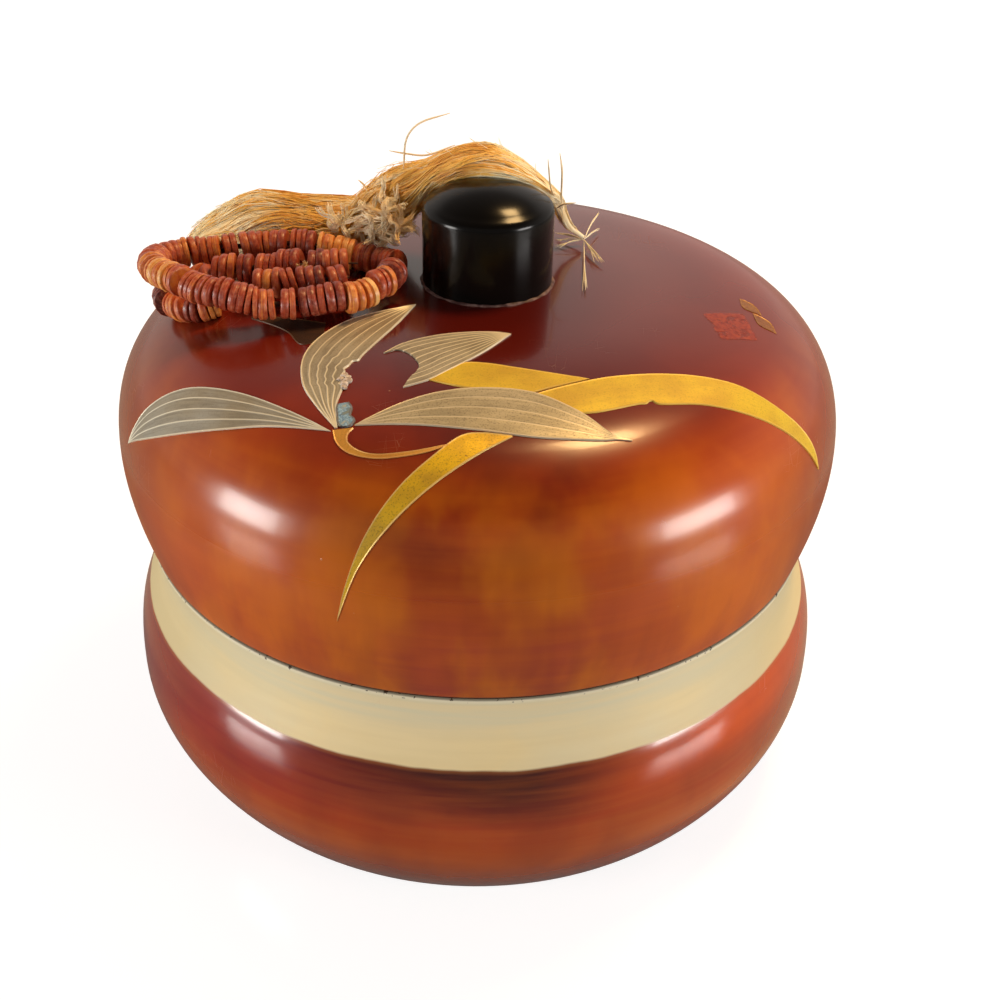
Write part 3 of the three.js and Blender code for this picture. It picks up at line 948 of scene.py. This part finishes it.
def make_worn_red():
    """Thin red paint that is worn to islands, with the lid's own lacquer showing between them."""
    material, tree, shader = new_material("worn_red")
    wear_noise = noise_of(tree, in_mm(tree), 0.55, 4.0, 0.6)
    edge_fade = mask(tree, attribute(tree, "rim_distance"), 0.0, 1.2)
    ends = sum_of(tree, "ABSOLUTE", sum_of(tree, "SUBTRACT", attribute(tree, "along"), 0.5))
    end_fade = mask(tree, ends, 0.5, 0.40)
    kept = sum_of(tree, "MULTIPLY", sum_of(tree, "MULTIPLY", edge_fade, end_fade), wear_noise)
    colour = blend(tree, mask(tree, noise_of(tree, in_mm(tree), 1.8, 3.0), 0.4, 0.6), srgb(184, 78, 46), srgb(156, 50, 32))
    feed(tree, shader, {
        "Base Color": colour, "Roughness": 0.3, "Alpha": sum_of(tree, "MULTIPLY", mask(tree, kept, 0.30, 0.50), 0.75), "Specular IOR Level": 0.42,
    })
    return material


lay_inlay("shell_chip", make_blue_pearl(), "silver_leaf", *SHELL_CHIP, lift=0.3)
lay_inlay("red_patch", make_worn_red(), "brown_lacquer", *RED_PATCH, lift=0.03, depth=0.1)
for number, fleck in enumerate(GOLD_FLECKS):
    lay_inlay(f"gold_fleck_{number + 1}", faint_gold, "gold_paint", *fleck, lift=0.04, depth=0.1)

# %% Crumb of silver and ring of glue
CRUMBS = [
    (-21.0, -34.4, 0.75), (-20.4, -35.1, 0.6), (-20.3, -36.0, 0.7), (-20.9, -36.9, 0.65), (-20.8, -37.8, 0.5),
    (-21.5, -35.6, 0.6),
]
RING_SECTION = [(11.2, 93.0), (11.85, 93.05), (11.8, 93.35), (11.6, 93.55), (11.2, 93.6), (11.2, 93.0)]


def make_dust(name, dark, pale, per_mm):
    """Matt crumbly stuff, mottled between two tones."""
    material, tree, shader = new_material(name)
    mottle = mask(tree, noise_of(tree, in_mm(tree), per_mm, 4.0, 0.65), 0.36, 0.64)
    bump = add_node(tree, "Bump", {"Strength": 0.8, "Distance": 0.08 * MM, "Height": mottle})
    feed(tree, shader, {
        "Base Color": blend(tree, mottle, srgb(*dark), srgb(*pale)),
        "Roughness": sum_of(tree, "MULTIPLY_ADD", mottle, 0.2, 0.5), "Normal": bump.outputs["Normal"],
    })
    return material


DRIFT_SHIFTS = (0.0, 31.7, 67.3)


def drift_at(place):
    """A smooth random direction at a place, the same in every run."""
    return Vector([noise.noise(place + Vector((shift, shift, shift))) for shift in DRIFT_SHIFTS])


def roughen(shape, amount_mm, per_mm):
    """Pushes every point of a shape about by a smooth noise."""
    for point in shape.verts:
        point.co += drift_at(point.co * per_mm / MM) * amount_mm * MM


def lay_crumbs():
    """Squashed lumps pressed together on the lid."""
    lumps = bmesh.new()
    for x, y, size in CRUMBS:
        flattened = Matrix.Diagonal((size * MM, size * MM, size * 0.5 * MM, 1))
        place = Matrix.Translation(on_lid(x, y, 0.3) * MM) @ flattened
        bmesh.ops.create_icosphere(lumps, subdivisions=3, radius=1.0, matrix=place)
    roughen(lumps, 0.35, 0.9)
    return lumps


crumb = finish_mesh(lay_crumbs(), "silver_crumb", [make_dust("crumb", (168, 148, 136), (232, 218, 204), 1.2)], 80)
ring_shape = turn_parts([(RING_SECTION, 0)], 144, KNOB_X)
roughen(ring_shape, 0.22, 0.55)
glue = finish_mesh(ring_shape, "glue_ring", [make_dust("dusty_glue", (58, 22, 20), (126, 98, 90), 0.6)], 80)

# %% [markdown]
# ## The strand of beads
#
# The beads are flat discs cut from shell, a little over five millimetres wide and one or two thick, worn
# round at the rim and threaded so tightly that they touch face to face in groups of two to four. One disc
# is spun from its section and then copied down the route of the strand. Copying with a curve modifier
# would bend the discs, so each copy is turned and placed whole, with its own thickness, tilt and tone.

# %% Route of the strand
BEAD_RADIUS = 2.7
OUTER_TURN = [
    (-14.4, -0.6, 95.9), (-17.9, 2.0, 95.7), (-21.6, 3.4, 96.1), (-25.0, 4.4, 96.6), (-28.6, 5.0, 96.8),
    (-32.2, 5.4, 97.0), (-36.4, 5.6, 97.1), (-42.0, 5.0, 96.8), (-46.4, 4.2, 96.6), (-50.3, 3.4, 96.4),
    (-53.4, 2.0, 96.3), (-55.4, 0.0, 96.6), (-56.3, -3.2, 97.0), (-55.3, -7.4, 97.4), (-52.6, -11.2, 98.0),
    (-49.3, -13.9, 98.1), (-46.0, -15.9, 97.8), (-42.0, -17.2, 97.4), (-37.5, -17.6, 96.4), (-33.3, -17.2, 95.8),
    (-29.6, -16.6, 95.9), (-26.8, -16.2, 96.3), (-23.9, -15.6, 96.5), (-20.6, -14.4, 96.6), (-18.0, -12.4, 97.0),
    (-15.6, -9.4, 97.2), (-15.1, -6.0, 97.2),
]
SECOND_TURN = [
    (-44.0, -11.4, 93.6), (-46.6, -11.8, 92.9), (-49.4, -11.2, 92.1), (-52.0, -9.0, 91.5), (-53.8, -5.8, 91.2),
    (-52.6, -2.8, 92.0), (-49.6, -2.6, 93.4), (-46.4, -3.4, 95.0), (-43.0, -4.0, 96.2), (-39.7, -4.0, 96.5),
    (-35.5, -3.6, 96.6), (-31.2, -3.4, 96.8), (-26.9, -3.2, 97.1), (-21.2, -3.2, 97.3),
]
LOOSE_END = [
    (-38.3, -9.4, 95.8), (-33.9, -9.6, 96.3), (-30.4, -9.6, 96.6), (-26.2, -9.6, 96.9),
    (-22.2, -9.0, 97.2),
]
ROUTE_STEP = 0.1


def route_points(route):
    """Closely and evenly spaced points along a smooth line through a route."""
    line = smooth_through(route, 40)
    length = sum((b - a).length for a, b in zip(line, line[1:]))
    return evenly(line, round(length / ROUTE_STEP) + 1)


strand_runs = [route_points(route) for route in (OUTER_TURN, SECOND_TURN, LOOSE_END)]
print("the strand is", round(sum(len(run) for run in strand_runs) * ROUTE_STEP), "mm long")

# %% One bead
BEAD_SIDES = 16
BORE_RADIUS = 0.6


def make_bead():
    """A disc one unit thick along X, rounded at the rim and bored through."""
    section = [(-0.5, BORE_RADIUS), (-0.5, 2.3), (-0.36, 2.62), (0.0, BEAD_RADIUS), (0.36, 2.62), (0.5, 2.3), (0.5, BORE_RADIUS)]
    bead = bmesh.new()
    points = [bead.verts.new((x, r, 0)) for x, r in section]
    edges = [bead.edges.new(pair) for pair in zip(points, points[1:] + points[:1])]
    bmesh.ops.spin(
        bead, geom=points + edges, cent=(0, 0, 0), axis=(1, 0, 0),
        angle=math.tau, steps=BEAD_SIDES, use_merge=True,
    )
    bmesh.ops.recalc_face_normals(bead, faces=bead.faces)
    mesh = bpy.data.meshes.new("one_bead")
    bead.to_mesh(mesh)
    bead.free()
    return mesh


one_bead = make_bead()
print("one bead has", len(one_bead.polygons), "faces")

# %% [markdown]
# ## Bead finish
#
# The discs show the layers of the shell as fine lines round the rim, from red-brown to orange-gold, under
# a worn polish. Each bead carries its tone and the distance along the strand on its points, and the lines
# are a noise read along that distance, so they always run round the rim.

# %% Bead material
def make_bead_shell():
    """Layered shell, toned bead by bead."""
    material, tree, shader = new_material("bead_shell")
    tone = attribute(tree, "tone")
    layers = noise_of(tree, add_node(tree, "CombineXYZ", {0: attribute(tree, "strand_mm")}).outputs[0], 4.5, 3.0, 0.6)
    patches = noise_of(tree, in_mm(tree), 0.9, 3.0, 0.6)
    mixed = sum_of(tree, "MULTIPLY_ADD", sum_of(tree, "SUBTRACT", layers, 0.5), 0.9, tone)
    mixed = sum_of(tree, "MULTIPLY_ADD", sum_of(tree, "SUBTRACT", patches, 0.5), 0.6, mixed)
    colour = ramp(tree, mixed, [
        (0.0, srgb(88, 24, 16)),
        (0.3, srgb(152, 54, 32)),
        (0.52, srgb(186, 84, 46)),
        (0.74, srgb(224, 140, 56)),
        (1.0, srgb(248, 206, 134)),
    ])
    dust = mask(tree, noise_of(tree, in_mm(tree), 1.6, 4.0, 0.7), 0.46, 0.66)
    colour = tint(tree, colour, srgb(226, 162, 130), dust, 0.25)
    tree.links.new(colour, shader.inputs["Base Color"])
    tree.links.new(sum_of(tree, "MULTIPLY_ADD", patches, 0.40, 0.18), shader.inputs["Roughness"])
    shader.inputs["Coat Weight"].default_value = 0.08
    shader.inputs["Coat Roughness"].default_value = 0.2
    bump = add_node(tree, "Bump", {"Strength": 0.9, "Distance": 0.10 * MM, "Height": layers})
    tree.links.new(bump.outputs["Normal"], shader.inputs["Normal"])
    return material


bead_shell = make_bead_shell()
print("material", bead_shell.name)

# %% Thread the beads
GROUP_GAPS = (0.2, 0.6)
BEAD_THICKNESS = (0.8, 1.6)
GROUP_TONES = (0.24, 0.32, 0.38, 0.44, 0.50, 0.58, 0.74)
GROUP_SHIFT = 0.35
GROUP_LEAN = 0.13
INNER_LEAN = 0.30
LEFT_END = -46.0
LEFT_TONES = (0.14, -0.25, 0.0)


def wobble(draw, amount):
    """A small random vector."""
    return Vector((draw.uniform(-1, 1), draw.uniform(-1, 1), draw.uniform(-1, 1))) * amount


def thread_beads():
    """Copies the bead down the route in groups, and stores tone and distance on the points."""
    draw = random.Random(7)
    strand = bmesh.new()
    tone_layer = strand.verts.layers.float.new("tone")
    distance_layer = strand.verts.layers.float.new("strand_mm")
    count = 0
    for number, run in enumerate(strand_runs):
        most_lean = GROUP_LEAN if number == 0 else INNER_LEAN
        length = (len(run) - 1) * ROUTE_STEP
        reach = 0.2
        while reach < length - 1.4:
            group_tone, lean, slip = draw.choice(GROUP_TONES), wobble(draw, most_lean), wobble(draw, GROUP_SHIFT)
            for _ in range(draw.choice((2, 2, 3, 3, 4))):
                thick = draw.uniform(*BEAD_THICKNESS)
                if reach + thick > length - 0.2:
                    break
                middle = round((reach + thick / 2) / ROUTE_STEP)
                ahead = run[min(middle + 6, len(run) - 1)] - run[max(middle - 6, 0)]
                facing = (ahead.normalized() + lean + wobble(draw, 0.03)).to_track_quat("X", "Z")
                size = draw.uniform(0.93, 1.02)
                place = (
                    Matrix.Scale(MM, 4) @ Matrix.Translation(run[middle] + slip + wobble(draw, 0.08))
                    @ facing.to_matrix().to_4x4() @ Matrix.Rotation(draw.uniform(0, math.tau), 4, "X")
                    @ Matrix.Diagonal((thick, size, size, 1))
                )
                known = len(strand.verts)
                strand.from_mesh(one_bead)
                strand.verts.ensure_lookup_table()
                fresh = strand.verts[known:]
                tone = group_tone + draw.uniform(-0.12, 0.12) + (LEFT_TONES[number] if run[middle].x < LEFT_END else 0.0)
                for point in fresh:
                    point[tone_layer] = tone
                    point[distance_layer] = count * 7 + thick * (point.co.x + 0.5)
                bmesh.ops.transform(strand, matrix=place, verts=fresh)
                reach += thick + 0.015
                count += 1
            reach += draw.uniform(*GROUP_GAPS)
    print("threaded", count, "beads")
    return strand


beads = finish_mesh(thread_beads(), "beads", [bead_shell], 50)
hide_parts("bead_strand")

# %% [markdown]
# ## Fibres
#
# Thread, tassel and loose hairs are all thin round strands along a line. A curve with a small bevel makes
# such a strand with tapering ends in one go, and hundreds of them fit in one curve object. The curve is
# then made a mesh, so that each strand can carry its own tone and the place along it for the finish.

# %% Helper for strands
def make_strands(name, strands, material):
    """Makes a mesh of thin tapering tubes from (points, radius, tone) rows, in millimetres."""
    data = bpy.data.curves.new(name, "CURVE")
    data.dimensions = "3D"
    data.bevel_depth = 1.0 * MM
    data.bevel_resolution = 0
    for points, radius, _ in strands:
        spline = data.splines.new("POLY")
        spline.points.add(len(points) - 1)
        last = len(points) - 1
        for index, (knot, point) in enumerate(zip(spline.points, points)):
            knot.co = (*(Vector(point) * MM), 1)
            knot.radius = radius * (0.35 + 0.65 * min(1.0, 5 * index / last, 5 * (last - index) / last))
    template = bpy.data.objects.new(name + "_curve", data)
    bpy.context.collection.objects.link(template)
    bpy.context.view_layer.update()
    mesh = bpy.data.meshes.new_from_object(template.evaluated_get(bpy.context.evaluated_depsgraph_get()))
    bpy.data.objects.remove(template)
    sides = len(mesh.vertices) // sum(len(points) for points, _, _ in strands)
    tones, alongs = [], []
    for points, _, tone in strands:
        tones += [tone] * len(points) * sides
        alongs += [index / (len(points) - 1) for index in range(len(points)) for _ in range(sides)]
    for label, values in (("tone", tones), ("along", alongs)):
        mesh.attributes.new(label, "FLOAT", "POINT").data.foreach_set("value", values)
    tubes = bmesh.new()
    tubes.from_mesh(mesh)
    bmesh.ops.holes_fill(tubes, edges=tubes.edges, sides=sides)
    bpy.data.meshes.remove(mesh)
    piece = finish_mesh(tubes, name, [material], 180)
    return piece


# %% Fibre finish
def make_fibre(name, dark, middle, light, roughness=0.5, pale_ends=0.0):
    """Dry plant fibre or hair: toned strand by strand, paler towards the two ends of the tassel."""
    material, tree, shader = new_material(name)
    flecks = sum_of(tree, "SUBTRACT", noise_of(tree, in_mm(tree), 0.35, 3.0), 0.5)
    mixed = sum_of(tree, "MULTIPLY_ADD", flecks, 0.7, attribute(tree, "tone"))
    if pale_ends:
        x = box_coordinates(tree)[1]
        ends = sum_of(tree, "ADD", mask(tree, x, -30.0, -48.0), mask(tree, x, -2.0, 8.0))
        mixed = sum_of(tree, "MULTIPLY_ADD", ends, pale_ends, mixed)
    colour = ramp(tree, mixed, [(0.0, srgb(*dark)), (0.5, srgb(*middle)), (1.0, srgb(*light))])
    feed(tree, shader, {"Base Color": colour, "Roughness": roughness, "Sheen Weight": 0.2, "Sheen Roughness": 0.4})
    return material


thread_fibre = make_fibre("thread_fibre", (40, 18, 12), (64, 30, 18), (96, 52, 30), 0.7)
blond_fibre = make_fibre("blond_fibre", (220, 148, 54), (250, 198, 90), (255, 244, 208), 0.5, 0.4)
cream_fibre = make_fibre("cream_fibre", (206, 158, 100), (246, 214, 160), (255, 244, 216), 0.7)
thread_lines = [(evenly(run, len(run) // 10), 0.5, 0.4) for run in strand_runs]
make_strands("bead_thread", thread_lines, thread_fibre)

# %% [markdown]
# ## The tassel
#
# The tassel lies behind the beads, is pinched where it was bound, and its free fibres are drawn over the
# knob and down the far side. Its body is a loft: rings at stations along a middle line, wide where the
# fibres fan out and narrow at the pinch. Fibres are then combed over the body in locks. A lock keeps one
# place round the body and drifts slowly; its fibres follow it closely, so light and dark locks show.

# %% Body of the tassel
TASSEL_STATIONS = [
    ((-54.4, 14.0, 91.6), 1.4, 1.2), ((-50.8, 16.0, 93.2), 4.4, 2.8), ((-46.0, 17.2, 94.6), 6.4, 4.2),
    ((-39.5, 17.9, 96.4), 7.4, 4.8), ((-32.5, 17.8, 96.2), 7.4, 4.4), ((-26.0, 17.0, 96.6), 6.4, 4.0),
    ((-20.8, 14.8, 98.2), 4.8, 4.2), ((-16.8, 12.4, 102.0), 4.0, 4.6), ((-13.2, 10.8, 105.6), 3.8, 4.0),
    ((-9.2, 10.2, 108.2), 3.8, 2.8), ((-3.8, 8.8, 111.2), 4.6, 2.5), ((1.4, 7.8, 112.2), 4.8, 2.3),
    ((6.6, 8.6, 109.9), 3.6, 1.8), ((10.9, 10.6, 106.0), 2.2, 1.4), ((13.3, 13.0, 103.2), 1.5, 1.2),
    ((14.8, 15.0, 99.7), 1.0, 0.9), ((16.4, 16.2, 96.8), 0.8, 0.7), ((19.0, 16.8, 94.6), 0.6, 0.5),
]
STATION_STEPS = 12
tassel_middle = smooth_through([at for at, _, _ in TASSEL_STATIONS], STATION_STEPS)
tassel_girth = smooth_through([(wide, high, 0) for _, wide, high in TASSEL_STATIONS], STATION_STEPS)


def tassel_section(share):
    """Middle, sideways and upward half axes of the tassel at a share of its length."""
    index = min(max(share, 0.0), 1.0) * (len(tassel_middle) - 1)
    low = min(int(index), len(tassel_middle) - 2)
    middle = tassel_middle[low].lerp(tassel_middle[low + 1], index - low)
    girth = tassel_girth[low].lerp(tassel_girth[low + 1], index - low)
    ahead = tassel_middle[min(low + 3, len(tassel_middle) - 1)] - tassel_middle[max(low - 2, 0)]
    across = Vector((0, 0, 1)).cross(ahead).normalized()
    rise = ahead.normalized().cross(across)
    return middle, across * girth.x, rise * girth.y


def on_tassel(share, turn, depth):
    """A point on the tassel: a share of its length, an angle round it and a share of its thickness."""
    middle, across, rise = tassel_section(share)
    return middle + (across * math.cos(turn) + rise * math.sin(turn)) * depth


BODY_RINGS = 72
BODY_SIDES = 28
BODY_DEPTH = 0.78


def make_tassel_body():
    """Rings along the middle line, bridged one to the next and capped at the ends."""
    body = bmesh.new()
    rings = []
    for step in range(BODY_RINGS):
        share = step / (BODY_RINGS - 1)
        ring = bmesh.ops.create_circle(body, segments=BODY_SIDES, radius=1.0)["verts"]
        for side, point in enumerate(ring):
            turn = math.tau * side / BODY_SIDES
            lump = 0.10 * noise.noise(Vector((share * 9, math.cos(turn) * 1.4, math.sin(turn) * 1.4)))
            point.co = on_tassel(share, turn, BODY_DEPTH + lump) * MM
        rings.append([edge for edge in body.edges if edge.verts[0] in ring and edge.verts[1] in ring])
    for ring, following in zip(rings, rings[1:]):
        bmesh.ops.bridge_loops(body, edges=ring + following)
    bmesh.ops.holes_fill(body, edges=rings[0] + rings[-1], sides=BODY_SIDES)
    bmesh.ops.recalc_face_normals(body, faces=body.faces)
    tone_layer = body.verts.layers.float.new("tone")
    for point in body.verts:
        point[tone_layer] = 0.5
    return body


tassel_body = finish_mesh(make_tassel_body(), "tassel_body", [blond_fibre], 80)
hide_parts("fibre_tassel")

# %% Fibres combed over the body
FIBRE_POINTS = 18
FIBRE_RADIUS = 0.095
KNOT = 0.42


def comb_lock(draw, place, begin, end, twist, fibres, spread):
    """One lock: fibres that start and end together, swell apart between, and wave as one."""
    key = draw.uniform(0, 99)
    tone = draw.uniform(0.1, 0.8)
    strands = []
    for _ in range(fibres):
        own, deep = draw.gauss(0, spread), draw.uniform(-0.07, 0.05)
        starts, ends = begin + draw.uniform(-0.015, 0.03), end + draw.uniform(-0.05, 0.02)
        seed = draw.uniform(0, 99)
        stray = draw.uniform(0.2, 0.6) if draw.random() < 0.09 else 0.0
        points = []
        for step in range(FIBRE_POINTS):
            part = step / (FIBRE_POINTS - 1)
            share = starts + (ends - starts) * part
            swell = 0.4 + 0.6 * math.sin(math.pi * part)
            wave = 0.75 * noise.noise(Vector((share * 9, key, 0))) + 0.14 * noise.noise(Vector((share * 20, seed, 0)))
            fold = 0.26 * noise.noise(Vector((share * 9, key, 30))) + 0.06 * noise.noise(Vector((share * 22, seed, 9)))
            turned = twist * min(max((share - KNOT) / 0.22, -1.0), 1.0)
            depth = 0.97 + fold + deep + stray * max(0.0, abs(part - 0.5) * 2 - 0.5)
            points.append(on_tassel(share, place + turned + own * swell + wave, depth) + Vector((min(share, 0.0), 0, 0)) * 90)
        strands.append((points, FIBRE_RADIUS * draw.uniform(0.7, 1.25), tone + draw.uniform(-0.16, 0.16)))
    return strands


def comb_tail():
    """Locks that fan out from the knot to the ragged left end."""
    draw = random.Random(21)
    strands = []
    for _ in range(66):
        begin, end = draw.uniform(-0.01, 0.16), draw.uniform(0.36, 0.49)
        strands += comb_lock(draw, math.tau * draw.random(), begin, end, draw.uniform(-0.5, 0.5), 16, 0.12)
    return strands


def comb_drape():
    """Locks that leave the knot, twist together and lie over the knob."""
    draw = random.Random(22)
    strands = []
    for lock in range(52):
        begin = draw.uniform(0.33, 0.45)
        end = draw.uniform(0.86, 0.96) if lock % 2 else draw.uniform(0.66, 0.84)
        strands += comb_lock(draw, math.tau * draw.random(), begin, end, draw.uniform(-1.8, -0.7), 18, 0.14)
    return strands


make_strands("tassel_tail", comb_tail(), blond_fibre)
make_strands("tassel_drape", comb_drape(), blond_fibre)

# %% Loose hairs, the splayed end and the grey tuft
LOOSE_HAIRS = [
    [(-13.9, 10, 108.5), (-13.7, 10, 110.5), (-13.1, 10, 115.1), (-11.1, 10, 117.6), (-5.6, 10, 119.6)],
    [(-16.2, 10, 112.8), (-13.1, 10, 112.3), (-9.8, 10, 112.1), (-4.7, 10, 114.0)],
    [(-21.9, 11, 107.1), (-20.8, 11, 106.0), (-20.0, 11, 104.0)],
    [(11.4, 6, 113.1), (11.7, 6.4, 110.6), (12.1, 7.4, 107.6), (12.9, 9, 105.4)],
    [(13.4, 6, 114.2), (13.9, 6, 111.2), (14.0, 6.6, 107.2), (14.2, 8.6, 104.0)],
    [(16.6, 6, 105.3), (14.7, 6.4, 104.9), (13.4, 8.8, 103.2)],
]
SPLAY_CENTRE = (19.2, 16.6, 94.2)
SPLAY_ENDS = [
    (22.1, 6.6, 93.6), (20.9, 7.3, 93.6), (18.0, -5.3, 93.8), (14.0, 21.2, 93.5), (14.0, 16.9, 93.6),
    (13.9, 13.8, 93.7), (22.1, 26.0, 95.8), (22.8, 24.9, 93.0),
]


def splay_strands():
    """Stiff fibres that spread from the far end of the tassel and rest on the lid."""
    draw = random.Random(5)
    strands = []
    for end in SPLAY_ENDS:
        for _ in range(3):
            middle = Vector(SPLAY_CENTRE).lerp(Vector(end), 0.5) + Vector((0, 0, draw.uniform(0.1, 0.5)))
            tip = Vector(end) + Vector((draw.uniform(-0.5, 0.5), draw.uniform(-0.5, 0.5), draw.uniform(0, 0.3)))
            route = [Vector(SPLAY_CENTRE), middle, tip]
            strands.append((evenly(smooth_through(route, 6), 12), draw.uniform(0.06, 0.11), draw.uniform(0.7, 1.1)))
    return strands


TUFTS = [
    ((-24.8, 7.2, 100.1), 1.5, 0.9), ((-21.0, 6.4, 101.2), 1.4, 0.8), ((-15.8, 5.0, 104.0), 1.6, 0.8),
    ((-14.6, 2.8, 101.2), 1.4, 0.6), ((-17.4, 4.2, 100.4), 1.2, 0.7), ((-30.0, -6.4, 97.4), 0.6, 0.4),
]
TUFT_CURLS = 13
CURL_HAIRS = 12
FUZZ_HAIRS = 260


def curly_hair(draw, start, heading, steps, step_mm, curl):
    """A short hair that curls as it goes."""
    seed = draw.uniform(0, 99)
    points = [start]
    for step in range(steps):
        heading = (heading + drift_at(Vector((seed, step * 0.35, 0))) * curl).normalized()
        points.append(points[-1] + heading * step_mm)
    return points


def tuft_strands():
    """Creamy curls beside the knob: each curl is a leading hair and others that keep close to it."""
    draw = random.Random(11)
    strands = []
    for middle, size, tone in TUFTS:
        for _ in range(TUFT_CURLS):
            start = Vector(middle) + Vector((draw.gauss(0, 0.7), draw.gauss(0, 0.6), draw.gauss(0, 0.55))) * size
            leader = curly_hair(draw, start, wobble(draw, 1.0).normalized(), 12, 0.26 * size, 0.9)
            curl_tone = tone + draw.uniform(-0.25, 0.25)
            for _ in range(CURL_HAIRS):
                aside, drift = wobble(draw, 0.30 * size), wobble(draw, 0.3 * size)
                points = [point + aside + drift * (step / len(leader)) ** 2 for step, point in enumerate(leader)]
                strands.append((points, draw.uniform(0.05, 0.09), curl_tone + draw.uniform(-0.15, 0.15)))
    return strands


def fuzz_strands():
    """Fine short ends that stand off the tassel all over."""
    draw = random.Random(12)
    strands = []
    for _ in range(FUZZ_HAIRS):
        share, turn = draw.uniform(0.02, 0.8), draw.uniform(0, math.tau)
        root, above = on_tassel(share, turn, 0.9), on_tassel(share, turn, 1.2)
        along = on_tassel(share - 0.03, turn, 0.9) - root
        heading = (along.normalized() + (above - root).normalized() * draw.uniform(0.05, 0.7)).normalized()
        points = curly_hair(draw, root, heading, 6, draw.uniform(0.3, 0.6), 0.5)
        strands.append((points, draw.uniform(0.03, 0.05), draw.uniform(0.6, 1.1)))
    return strands


loose_hairs = [(evenly(smooth_through(route, 6), 24), 0.17, 0.6) for route in LOOSE_HAIRS]
make_strands("loose_hairs", loose_hairs, cream_fibre)
make_strands("splayed_end", splay_strands(), blond_fibre)
make_strands("cream_tuft", tuft_strands(), cream_fibre)
make_strands("fuzz", fuzz_strands(), blond_fibre)
